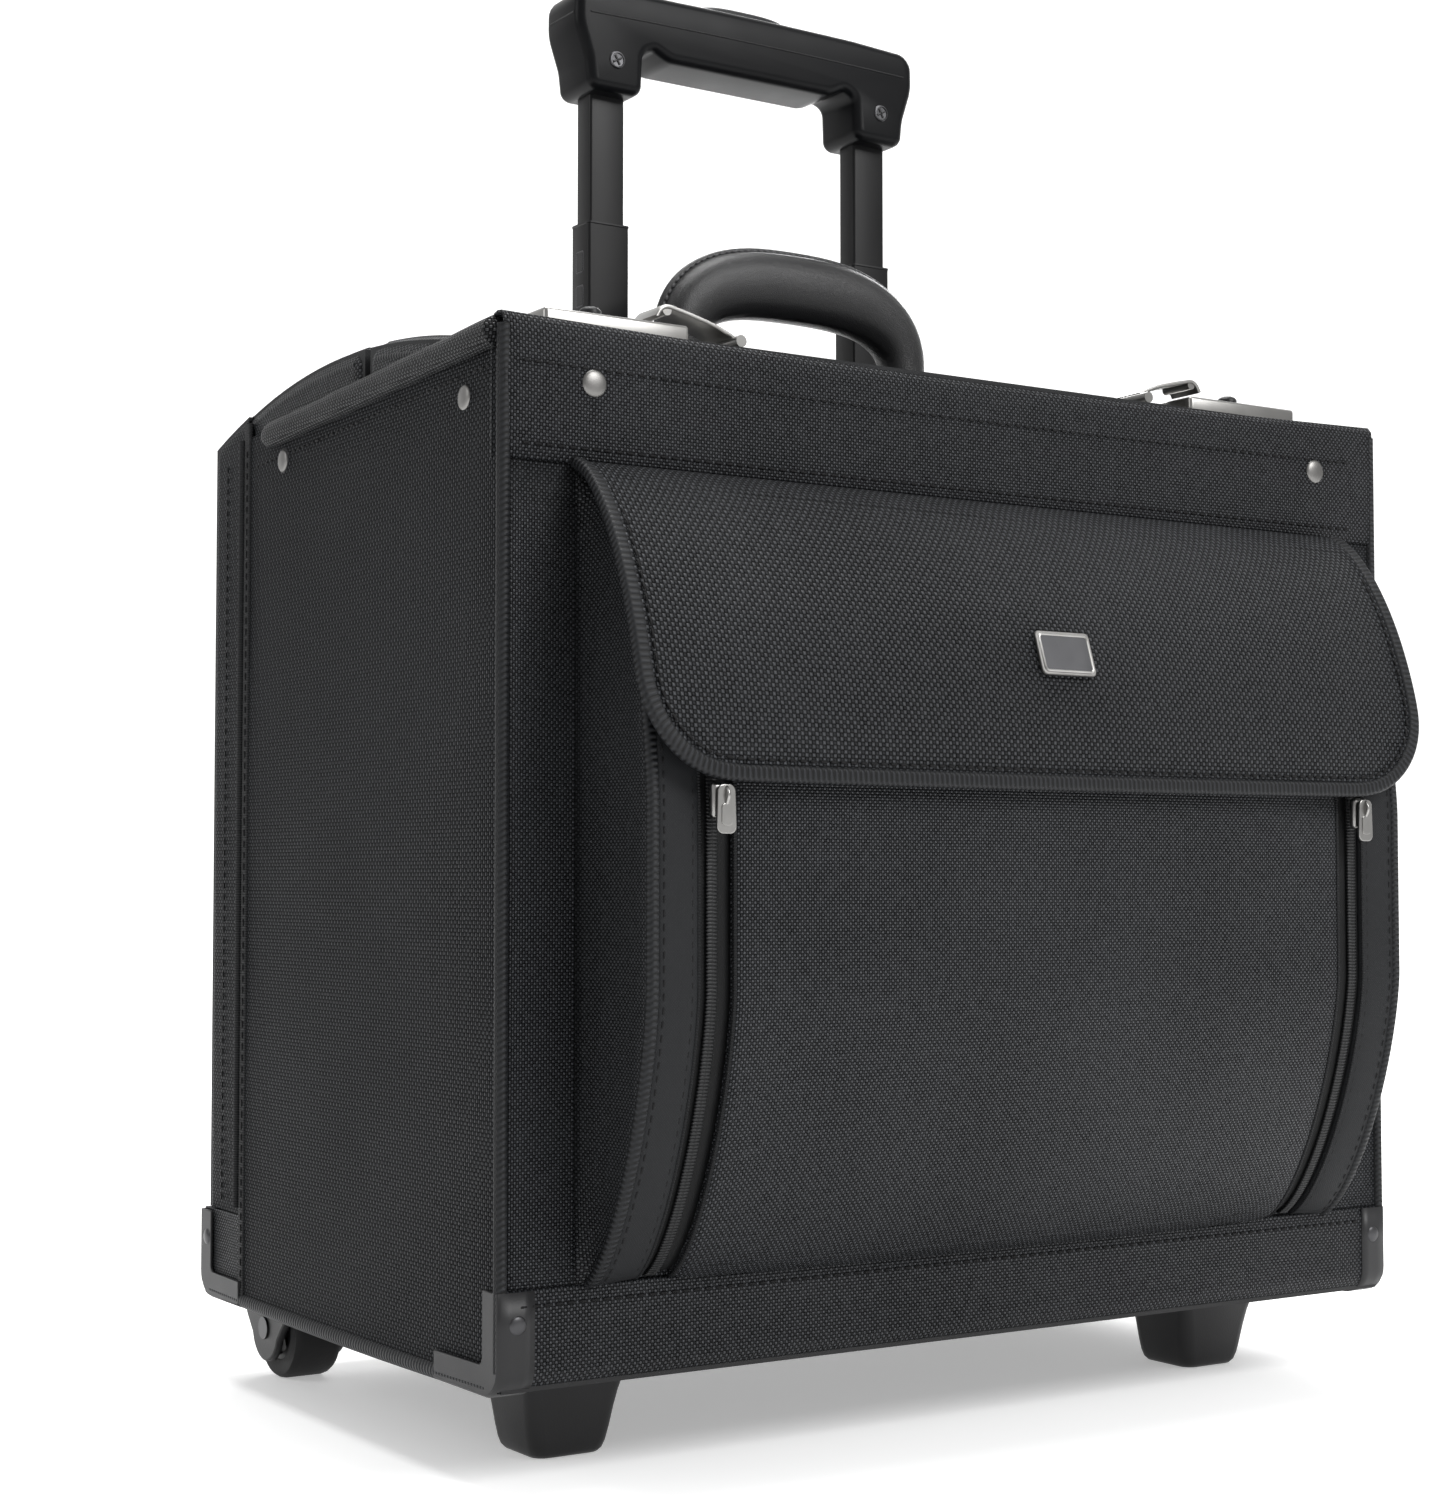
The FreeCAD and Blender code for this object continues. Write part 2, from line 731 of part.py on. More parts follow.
def build_wheels():
    axle_z = size("wheel_radius")
    axle_y = WHEEL_Y
    middle_x = WHEEL_X
    half = size("wheel_width") / 2
    gap = half + size("wheel_gap")
    housings = []
    pins = []
    for side in ("left", "right"):
        x, y, top = wheel_bay(side)
        low = BASE - size("housing_drop")
        foot = size("housing_foot")
        outline = [(y[0], BASE), (axle_y - foot, low), (axle_y + foot, low), (y[1], BASE), (y[1], top),
                   (y[0], top)]
        shell = extrude(f"housing_shell_{side}", "YZ_Plane", outline, x)
        space = rod(f"housing_space_{side}", "x", sided(side, middle_x - gap, middle_x + gap),
                    axle_y, axle_z, size("wheel_radius") + size("wheel_play"))
        wall = size("housing_wall")
        pin_x = sided(side, middle_x - gap - wall, middle_x + gap + wall)
        bore = rod(f"housing_bore_{side}", "x", pin_x, axle_y, axle_z, size("axle_radius"))
        housings.append(cut(f"housing_{side}", shell, space, bore))
        pins.append(rod(f"axle_{side}", "x", pin_x, axle_y, axle_z, size("axle_radius")))

        hub_x = sided(side, middle_x - half, middle_x + half)
        hub_core = rod(f"hub_core_{side}", "x", hub_x, axle_y, axle_z, size("hub_radius"))
        hub_bore = rod(f"hub_bore_{side}", "x", hub_x, axle_y, axle_z,
                       size("axle_radius") + size("pin_play"))
        node(cut(f"wheel_hub_{side}", hub_core, hub_bore), f"wheel_hub_{side}")
        tread = rod(f"tread_{side}", "x", hub_x, axle_y, axle_z, size("wheel_radius"))
        seat = rod(f"tread_seat_{side}", "x", hub_x, axle_y, axle_z, size("hub_radius"))
        node(cut(f"wheel_tyre_{side}", tread, seat), f"wheel_tyre_{side}")
    node(group("wheel_housings", *housings), "wheel_housings")
    node(group("axle_pins", *pins), "axle_pins")


# --- front pocket --------------------------------------------------------------------------------

def bulge(power, step):
    """How far a superellipse is out and along after so many steps from its widest place."""
    angle = math.pi / 2 * step / CURL_STEPS
    out = max(math.cos(angle), 0.0) ** (2 / power)
    return round(out, 6), round(math.sin(angle) ** (2 / power), 6)


def upper_curve(back, reach, middle_z, rise, first=0, last=CURL_STEPS):
    """Side-view points from the widest place up to the body."""
    points = []
    for step in range(first, last + 1):
        out, along = bulge(HEAD_POWER, step)
        points.append((back - reach * out, middle_z + rise * along))
    return points


def lower_curve(back, reach, middle_z, fall, last=CURL_STEPS):
    """Side-view points from the widest place down to the body."""
    points = []
    for step in range(last + 1):
        out, along = bulge(FOOT_POWER, step)
        points.append((back - reach * out, middle_z - fall * along))
    return points


def build_pocket():
    """A soft box on the front; its ends reach up under the flap and its front stops at a mouth."""
    half = POCKET_HALF
    wall = size("pocket_wall")
    reach = size("pocket_depth")
    shoulder = POCKET_HEAD - size("pocket_shoulder")
    waist = level("pocket_bottom") + size("pocket_curl")
    head = size("pocket_shoulder")
    curl = size("pocket_curl")
    upper = upper_curve(FRONT, reach, shoulder, head)
    lower = lower_curve(FRONT, reach, waist, curl)
    outer = extrude("pocket_outside", "YZ_Plane", upper[::-1] + lower, (-half, half))
    upper = upper_curve(FRONT - wall, reach - wall * 2, shoulder, head - wall)
    lower = lower_curve(FRONT - wall, reach - wall * 2, waist, curl - wall)
    inner = extrude("pocket_inside", "YZ_Plane", upper[::-1] + lower, (wall - half, half - wall))
    mouth = block("pocket_mouth", (wall - half, half - wall), (FRONT - reach, FRONT - wall),
                  (POCKET_TOP, SEAM))
    node(cut("front_pocket", outer, inner, mouth), "front_pocket")

    # each tape lies on the pocket's front from below the mouth to where the curl turns under
    thick = size("zip_tape_thick")
    outside = (upper_curve(FRONT, reach + thick, shoulder, head, last=TAPE_TOP)[::-1]
               + lower_curve(FRONT, reach + thick, waist, curl, last=TAPE_FOOT))
    inside = (upper_curve(FRONT, reach, shoulder, head, last=TAPE_TOP)[::-1]
              + lower_curve(FRONT, reach, waist, curl, last=TAPE_FOOT))
    tapes = []
    width = size("zip_tape_width") / 2
    for side in ("left", "right"):
        x = mirror_x(side, ZIP_X)
        tapes.append(extrude(f"zip_tape_{side}", "YZ_Plane", outside + inside[::-1],
                             (x - width, x + width)))
    node(group("zip_tapes", *tapes), "zip_tapes")


def build_flap():
    """A stiff curved flap that hangs over the pocket's mouth."""
    stand = FRONT - size("flap_stand")
    thick = size("flap_thick")
    reach = FLAP_REACH - size("flap_stand")
    hem = FLAP_BOTTOM + size("flap_hem")
    rise = SEAM - hem
    outer = upper_curve(stand, reach, hem, rise)
    inner = upper_curve(stand, reach - thick, hem, rise - thick)
    outline = outer[::-1] + [(stand - reach, FLAP_BOTTOM), (stand - reach + thick, FLAP_BOTTOM)]
    half = HALF - size("flap_inset")
    curve = extrude("flap_curve", "YZ_Plane", outline + inner, (-half, half))
    sides = [(-half, SEAM), (-half, FLAP_BOTTOM), (half, FLAP_BOTTOM), (half, SEAM)]
    shape = extrude("flap_shape", "XZ_Plane", sides, (FRONT - FLAP_REACH, FRONT))
    soften(shape, size("flap_round"),
           lambda edge: runs_along(edge, Y_AXIS) and middle(edge).z < SEAM.number - NEAR)
    node(common("pocket_flap", curve, shape), "pocket_flap")

    # the badge lies along the flap's slope, just clear of its bulge
    badge = size("badge_width") / 2
    gap = size("badge_stand")
    places = upper_curve(stand - gap, reach, hem, rise, first=BADGE_STEP, last=BADGE_STEP + 1)
    run = places[1][1] - places[0][1]
    lean = (places[1][0] - places[0][0]) / run
    low = places[0][1] - size("badge_fall")
    high = low + size("badge_height")
    outline = [(places[0][0] + lean * (z - places[0][1]), z) for z in (low, high)]
    outline += [(y - size("badge_thick"), z) for y, z in outline[::-1]]
    node(extrude("flap_badge", "YZ_Plane", outline, (-badge, badge)), "flap_badge")


def build_zips():
    """A slider on each zip, with a flat pull that hangs from a pin through the slider's lug."""
    face = FRONT - size("pocket_depth") - size("zip_tape_thick") - size("soft_gap")
    thick = size("slider_thick")
    half = size("slider_width") / 2
    top = FLAP_BOTTOM - size("slider_drop")
    pull_thick = size("pull_thick")
    pivot_y = face - thick - pull_thick
    pin = size("pull_pin_radius")
    lug = size("slider_lug") / 2
    eye = pin + lug
    pull_half = size("pull_width") / 2
    slot_half = lug + size("soft_gap") + PLAY
    for side in ("left", "right"):
        x = mirror_x(side, ZIP_X)
        shoe = block(f"slider_shoe_{side}", (x - half, x + half), (face - thick, face),
                     (top - size("slider_height"), top))
        loop = block(f"slider_lug_{side}", (x - lug, x + lug), (pivot_y - eye, face - thick),
                     (PULL_Z - lug * 2, PULL_Z + lug * 2))
        pin_x = (x - slot_half * 2, x + slot_half * 2)
        bore = rod(f"slider_bore_{side}", "x", pin_x, pivot_y, PULL_Z, pin + PLAY)
        solid = fuse(f"slider_solid_{side}", shoe, loop)
        node(cut(f"zip_slider_{side}", solid, bore), f"zip_slider_{side}")
        plate = block(f"pull_plate_{side}", (x - pull_half, x + pull_half),
                      (pivot_y - pull_thick / 2, pivot_y + pull_thick / 2),
                      (PULL_Z - size("pull_length"), PULL_Z + pin))
        slot = block(f"pull_slot_{side}", (x - slot_half, x + slot_half),
                     (pivot_y - eye * 2, pivot_y + eye * 2), (PULL_Z - eye * 2, PULL_Z + eye * 2))
        pull_pin = rod(f"pull_pin_{side}", "x", pin_x, pivot_y, PULL_Z, pin)
        eyed = cut(f"pull_eye_{side}", plate, slot)
        node(fuse(f"zip_pull_{side}", eyed, pull_pin), f"zip_pull_{side}")


# --- carry handle --------------------------------------------------------------------------------

def build_carry_handle():
    """A padded arch on two pins."""
    centre = HANDLE_Y
    y = (centre - size("handle_thick") / 2, centre + size("handle_thick") / 2)
    half = HANDLE_HALF
    inner = HANDLE_INNER
    bottom = CROWN_TOP + size("handle_lift")
    outline = [(-half, bottom), (-inner, bottom), (-inner, CROWN_TOP + size("handle_inner_rise")),
               (inner, CROWN_TOP + size("handle_inner_rise")), (inner, bottom), (half, bottom),
               (half, CROWN_TOP + size("handle_rise")), (-half, CROWN_TOP + size("handle_rise"))]
    arch = extrude("handle_arch", "XZ_Plane", outline, y)
    top = (CROWN_TOP + size("handle_rise")).number
    inner_top = (CROWN_TOP + size("handle_inner_rise")).number

    def on_top(edge):
        return runs_along(edge, Y_AXIS) and abs(middle(edge).z - top) < NEAR

    def inside_top(edge):
        return runs_along(edge, Y_AXIS) and abs(middle(edge).z - inner_top) < NEAR

    def under_legs(edge):
        return runs_along(edge, X_AXIS) and abs(middle(edge).z - bottom.number) < NEAR

    soften(arch, size("handle_round"), on_top)
    soften(arch, size("handle_inner_round"), inside_top)
    soften(arch, size("handle_foot_round"), under_legs)
    reach = half + size("bracket_ear") + SLACK
    bore = rod("handle_bore", "x", (-reach, reach), centre, HANDLE_Z,
               size("handle_pin_radius") + size("pin_play"))
    node(cut("carry_handle", arch, bore), "carry_handle")


def build_brackets():
    centre = HANDLE_Y
    half_y = size("bracket_depth") / 2
    ear = size("bracket_ear")
    near = HANDLE_INNER - SLACK
    far = HANDLE_HALF + SLACK
    ear_half = size("handle_pin_radius") * 2
    brackets = []
    for side in ("left", "right"):
        plate = block(f"bracket_plate_{side}", sided(side, near - ear, far + ear),
                      (centre - half_y, centre + half_y),
                      (SIDE_TOP, CROWN_TOP + size("bracket_plate_rise")))
        crown = rod(f"bracket_seat_{side}", "x", (-HALF, HALF), CROWN_Y, CROWN_Z,
                    CROWN_RADIUS)
        ears = [
            block(f"bracket_ear_{n}_{side}", x, (centre - ear_half, centre + ear_half),
                  (CROWN_TOP, CROWN_TOP + size("bracket_ear_rise")))
            for n, x in enumerate((sided(side, near - ear, near), sided(side, far, far + ear)))
        ]
        pin = rod(f"handle_pin_{side}", "x", sided(side, near - ear, far + ear), centre,
                  HANDLE_Z, size("handle_pin_radius"))
        saddle = cut(f"bracket_saddle_{side}", plate, crown)
        brackets.append(fuse(f"handle_bracket_{side}", saddle, pin, *ears))
    node(group("handle_brackets", *brackets), "handle_brackets")


# --- locks ---------------------------------------------------------------------------------------

def build_locks():
    """A lock case with a push knob, and a hinged hasp that hooks over the case's inner end."""
    y = (depth("lock_start"), depth("lock_start") + size("lock_width"))
    centre_y = depth("lock_start") + size("lock_width") / 2
    low = SIDE_TOP
    half_lever = size("lever_width") / 2
    pin = size("lever_pin_radius")
    lug = pin + size("lever_eye_wall")
    for side in ("left", "right"):
        box = block(f"lock_box_{side}", sided(side, LOCK_OUTER - size("lock_length"), LOCK_OUTER), y,
                    (low, LOCK_TOP))
        plate = block(f"lock_plate_{side}",
                      sided(side, LOCK_OUTER - size("lock_plate_length"), LOCK_OUTER), y,
                      (low, LOCK_PLATE_TOP))
        crown = rod(f"lock_seat_{side}", "x", (-HALF, HALF), CROWN_Y, CROWN_Z,
                    CROWN_RADIUS)
        knob_x = mirror_x(side, LOCK_OUTER - size("knob_place"))
        knob_low = LOCK_TOP + size("knob_proud") - size("knob_length") - size("knob_travel") - SLACK
        hole = rod(f"knob_hole_{side}", "z", knob_x, centre_y, (knob_low, LOCK_TOP + OVERSHOOT),
                   size("knob_radius") + size("pin_play") * 2)
        lugs = []
        for n, lug_y in enumerate(((y[0], centre_y - half_lever - SLACK),
                                   (centre_y + half_lever + SLACK, y[1]))):
            lugs.append(block(f"lever_lug_{n}_{side}",
                              sided(side, LEVER_X - lug, LEVER_X + lug), lug_y,
                              (LOCK_PLATE_TOP - SLACK, LEVER_Z + lug)))
        lever_pin = rod(f"lever_pin_{side}", "y", mirror_x(side, LEVER_X), y,
                        LEVER_Z, pin)
        body = cut(f"lock_body_{side}", fuse(f"lock_solid_{side}", box, plate), crown, hole)
        node(fuse(f"lock_case_{side}", body, lever_pin, *lugs), f"lock_case_{side}")

        knob_top = LOCK_TOP + size("knob_proud")
        node(
            rod(f"lock_knob_{side}", "z", knob_x, centre_y,
                (knob_top - size("knob_length"), knob_top), size("knob_radius")),
            f"lock_knob_{side}",
        )

        near = LEVER_X
        tip = LOCK_OUTER - size("lever_tip")
        tip_z = CROWN_TOP + size("lever_tip_rise")
        thick = size("lever_thick")
        eye = pin + size("lever_eye_wall")
        outline = [
            (mirror_x(side, near), LEVER_Z + eye),
            (mirror_x(side, near - eye), LEVER_Z),
            (mirror_x(side, near), LEVER_Z - eye),
            (mirror_x(side, near + eye), LEVER_Z - eye),
            (mirror_x(side, tip), tip_z - thick),
            (mirror_x(side, tip + thick), LOCK_TOP + SLACK),
            (mirror_x(side, tip + thick * 2), LOCK_TOP + SLACK),
            (mirror_x(side, tip + thick), tip_z),
        ]
        lever = extrude(f"lever_{side}", "XZ_Plane", outline,
                        (centre_y - half_lever, centre_y + half_lever))
        bore = rod(f"lever_bore_{side}", "y", mirror_x(side, near), y, LEVER_Z,
                   pin + size("pin_play"))
        node(cut(f"lock_lever_{side}", lever, bore), f"lock_lever_{side}")


# --- trolley -------------------------------------------------------------------------------------

def tube(name, side, wide, deep, wall, z):
    """A rectangular tube on one side of the trolley."""
    x = mirror_x(side, TUBE_X)
    outer = block(f"{name}_outer", (x - wide / 2, x + wide / 2),
                  (TROLLEY - deep / 2, TROLLEY + deep / 2), z)
    bore = block(f"{name}_bore", (x - wide / 2 + wall, x + wide / 2 - wall),
                 (TROLLEY - deep / 2 + wall, TROLLEY + deep / 2 - wall), z)
    return outer, bore


def build_trolley_channel():
    wall = size("well_wall")
    floor = WELL_FLOOR
    play = size("sleeve_play")
    wide = size("mid_wide") + play * 2
    deep = size("mid_deep") + play * 2
    half_x = size("grip_wide") / 2 + size("well_play_wide")
    half_y = size("grip_deep") / 2 + size("well_play_deep")
    shell = crowned("well_shell", (-half_x, half_x), (TROLLEY - half_y, TROLLEY + half_y), floor, 0)
    space = well_box("well_space", -wall, floor + wall, CROWN_TOP + OVERSHOOT)
    holes = []
    sleeves = []
    for side in ("left", "right"):
        passage, _ = tube(f"well_hole_{side}", side, wide, deep, wall, (floor, floor + wall))
        holes.append(passage)
        grow = size("tube_wall") * 2
        outer, bore = tube(f"sleeve_{side}", side, wide + grow, deep + grow, size("tube_wall"),
                           (level("sleeve_bottom"), floor))
        sleeves.append(cut(f"trolley_sleeve_{side}", outer, bore))
    node(cut("trolley_well", shell, space, *holes), "trolley_well")
    node(group("trolley_sleeves", *sleeves), "trolley_sleeves")


def build_tubes():
    wall = size("tube_wall")
    mids = []
    uppers = []
    for side in ("left", "right"):
        wide = size("mid_wide")
        outer, bore = tube(f"mid_{side}", side, wide, size("mid_deep"), wall,
                           (level("mid_bottom"), MID_TOP))
        outside = TUBE_X + wide / 2
        windows = []
        for n in range(WINDOWS):
            low = MID_TOP - size("window_drop") - size("window_pitch") * n
            through = sided(side, outside - wall * 2, outside + OVERSHOOT)
            windows.append(block(f"window_{n}_{side}", through,
                                 (TROLLEY - size("window_wide") / 2, TROLLEY + size("window_wide") / 2),
                                 (low, low + size("window_tall"))))
        mids.append(cut(f"mid_tube_{side}", outer, bore, *windows))
        outer, bore = tube(f"upper_{side}", side, size("upper_wide"), size("upper_deep"), wall,
                           (level("upper_bottom"), SOCKET_TOP))
        uppers.append(cut(f"upper_tube_{side}", outer, bore))
    node(group("mid_tubes", *mids), "mid_tubes")
    node(group("upper_tubes", *uppers), "upper_tubes")


def grip_half(name, y):
    """One moulding of the grip: a bar with two short legs."""
    half = size("grip_wide") / 2
    leg_out = TUBE_X + size("grip_leg_wide") / 2
    leg_in = TUBE_X - size("grip_leg_wide") / 2
    low = GRIP_LEG
    bar = GRIP_BAR
    outline = [(-leg_out, low), (-leg_in, low), (-leg_in, bar), (leg_in, bar), (leg_in, low),
               (leg_out, low), (leg_out, bar), (half, bar + size("grip_haunch")), (half, GRIP_TOP),
               (-half, GRIP_TOP), (-half, bar + size("grip_haunch")), (-leg_out, bar)]
    body = extrude(f"{name}_block", "XZ_Plane", outline, y)
    top = GRIP_TOP.number

    def at_ends(edge):
        return runs_along(edge, Y_AXIS) and abs(middle(edge).z - top) < NEAR

    return soften(body, size("grip_round"), at_ends)


def grip_hollows(name):
    """The sockets, cavity and button well inside the grip."""
    low = GRIP_LEG
    tools = []
    for side in ("left", "right"):
        socket, _ = tube(f"{name}_socket_{side}", side, size("upper_wide"), size("upper_deep"),
                         size("tube_wall"), (low, SOCKET_TOP))
        tools.append(socket)
    cavity = TUBE_X + size("upper_wide") / 2
    deep = size("cavity_deep") / 2
    tools.append(block(f"{name}_cavity", (-cavity, cavity), (TROLLEY - deep, TROLLEY + deep),
                       (SOCKET_TOP, CAVITY_TOP)))
    play = size("button_play")
    wide = size("button_wide") / 2 + play
    across = size("button_deep") / 2 + play
    well_low = BUTTON_BASE - size("button_travel") - play
    tools.append(block(f"{name}_well", (-wide, wide), (TROLLEY - across, TROLLEY + across),
                       (well_low, GRIP_TOP + OVERSHOOT)))
    stem = size("stem_wide") / 2 + play
    stem_y = size("link_deep") / 2 + play
    tools.append(block(f"{name}_stem_hole", (-stem, stem), (TROLLEY - stem_y, TROLLEY + stem_y),
                       (CAVITY_TOP - OVERSHOOT, well_low + OVERSHOOT)))
    return tools


def build_grip():
    half = size("grip_deep") / 2
    front_face = TROLLEY - half
    screw_z = GRIP_LEG + size("screw_place")
    screws = []
    seats = []
    for side in ("left", "right"):
        x = mirror_x(side, TUBE_X)
        y = (front_face - size("screw_proud"), front_face + size("screw_sunk"))
        screws.append(rod(f"grip_screw_{side}", "y", x, y, screw_z, size("screw_radius")))
        seats.append(rod(f"screw_seat_{side}", "y", x, y, screw_z, size("screw_radius")))
    front = grip_half("front", (front_face, TROLLEY))
    node(cut("grip_front", front, *grip_hollows("front"), *seats), "grip_front")
    rear = grip_half("rear", (TROLLEY, TROLLEY + half))
    node(cut("grip_rear", rear, *grip_hollows("rear")), "grip_rear")
    node(group("grip_screws", *screws), "grip_screws")


def build_release():
    """The push button and the link and rods that it works inside the tubes."""
    wide = size("button_wide") / 2
    deep = size("button_deep") / 2
    link_y = (TROLLEY - size("link_deep") / 2, TROLLEY + size("link_deep") / 2)
    cap = block("button_cap", (-wide, wide), (TROLLEY - deep, TROLLEY + deep),
                (BUTTON_BASE, GRIP_TOP + size("button_proud")))
    link_top = LINK_LOW + size("link_tall")
    stem = size("stem_wide") / 2
    post = block("button_post", (-stem, stem), link_y, (link_top, BUTTON_BASE))
    node(fuse("grip_button", cap, post), "grip_button")
    reach = TUBE_X + size("rod_radius") * 2
    link = block("release_link", (-reach, reach), link_y, (LINK_LOW, link_top))
    rods = [
        rod(f"release_rod_{side}", "z", mirror_x(side, TUBE_X), TROLLEY,
            (level("rod_bottom"), LINK_LOW), size("rod_radius"))
        for side in ("left", "right")
    ]
    node(fuse("release_rods", link, *rods), "release_rods")


# --- rear door -----------------------------------------------------------------------------------

def door_shell(name, side_inset, top_inset, wall, seam):
    """A tray with a crowned top that is open towards the case and underneath."""
    half = HALF - side_inset
    low = SILL_TOP + SLACK
    y = (DOOR_LINE + seam, BACK - side_inset)
    outer = crowned(f"{name}_outer", (-half, half), y, low, top_inset)
    hollow = crowned(f"{name}_hollow", (wall - half, half - wall), (y[0], y[1] - wall), low,
                     as_size(top_inset) + wall)
    return cut(name, outer, hollow)


def build_rear_door():
    node(door_shell("rear_door_cover", as_size(0), as_size(0), COVER, SLACK), "rear_door_cover")
    node(door_shell("rear_door_board", COVER, COVER, BOARD, SLACK), "rear_door_board")


def check_and_write():
    """Stop on anything that failed, then write each sub-part to its own file."""
    for item in doc.Objects:
        if "Invalid" in item.State or "Error" in item.State:
            raise RuntimeError(f"{item.Label} failed: {item.State}")
    os.makedirs("parts", exist_ok=True)
    for item in nodes:
        if item.Shape.isNull() or not item.Shape.isValid():
            raise RuntimeError(f"{item.Label} has no valid shape")
        item.Shape.exportStep(os.path.join("parts", f"{item.Label}.step"))
    print(f"{len(nodes)} sub-parts written")


build_walls()
build_base()
build_deck()
build_lid()
build_lid_hinge()
build_rolls()
build_rivets()
build_guards()
build_feet()
build_wheels()
build_pocket()
build_flap()
build_zips()
build_carry_handle()
build_brackets()
build_locks()
build_trolley_channel()
build_tubes()
build_grip()
build_release()
build_rear_door()
doc.recompute()
check_and_write()
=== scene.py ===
import math

import bmesh
import bpy
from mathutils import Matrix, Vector


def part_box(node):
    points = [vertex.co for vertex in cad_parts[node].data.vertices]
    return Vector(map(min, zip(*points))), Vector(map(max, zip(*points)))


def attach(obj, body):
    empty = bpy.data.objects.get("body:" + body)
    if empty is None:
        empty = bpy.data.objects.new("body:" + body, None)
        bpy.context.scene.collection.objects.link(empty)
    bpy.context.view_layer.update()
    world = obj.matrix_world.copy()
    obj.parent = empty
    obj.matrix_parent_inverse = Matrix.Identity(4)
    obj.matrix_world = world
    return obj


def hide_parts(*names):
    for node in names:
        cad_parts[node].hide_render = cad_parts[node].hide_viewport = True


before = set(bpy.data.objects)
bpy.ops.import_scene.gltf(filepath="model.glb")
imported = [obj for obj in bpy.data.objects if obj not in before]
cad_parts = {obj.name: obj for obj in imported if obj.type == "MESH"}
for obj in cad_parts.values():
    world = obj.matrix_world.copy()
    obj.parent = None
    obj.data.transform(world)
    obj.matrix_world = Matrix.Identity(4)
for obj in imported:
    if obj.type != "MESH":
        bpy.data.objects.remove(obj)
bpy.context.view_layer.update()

# Lengths below are in millimetres; a piece's mesh is scaled to metres when it is made.
MM = 0.001


def corners(node):
    """A CAD node's lowest and highest corners, in millimetres."""
    low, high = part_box(node)
    return Vector(low) / MM, Vector(high) / MM


front_low, front_high = corners("front_cover")
HALF = front_high.x
FRONT = front_low.y
BASE = front_low.z
TOP = front_high.z - BASE
BACK = corners("rear_door_cover")[1].y - FRONT
DOOR_LINE = corners("deck_cover")[1].y - FRONT
LID = [corner.y - FRONT for corner in corners("lid_cover")]
DECK = [corner.y - FRONT for corner in corners("deck_cover")]
SIDE_TOP = corners("side_cover_left")[1].z - BASE
CROWN = corners("deck_cover")[1].z - BASE
CROWN_Y = 149.0
CROWN_RADIUS = 461.0
SEAM = corners("pocket_flap")[1].z - BASE
TROLLEY = (corners("mid_tubes")[0].y + corners("mid_tubes")[1].y) / 2 - FRONT
TUBE_X = 75.5
WELL = corners("trolley_well")
SIDES = (("left", -1), ("right", 1))
X, Y, Z = Vector((1, 0, 0)), Vector((0, 1, 0)), Vector((0, 0, 1))


def at(x, y, z):
    """A point from the middle of the case, back from its front face and up from its underside."""
    return Vector((x, FRONT + y, BASE + z))


def crown(y):
    """Height of the lid and deck at a depth y."""
    return CROWN - CROWN_RADIUS + math.sqrt(CROWN_RADIUS**2 - (y - CROWN_Y) ** 2)


# --- materials -----------------------------------------------------------------------------------

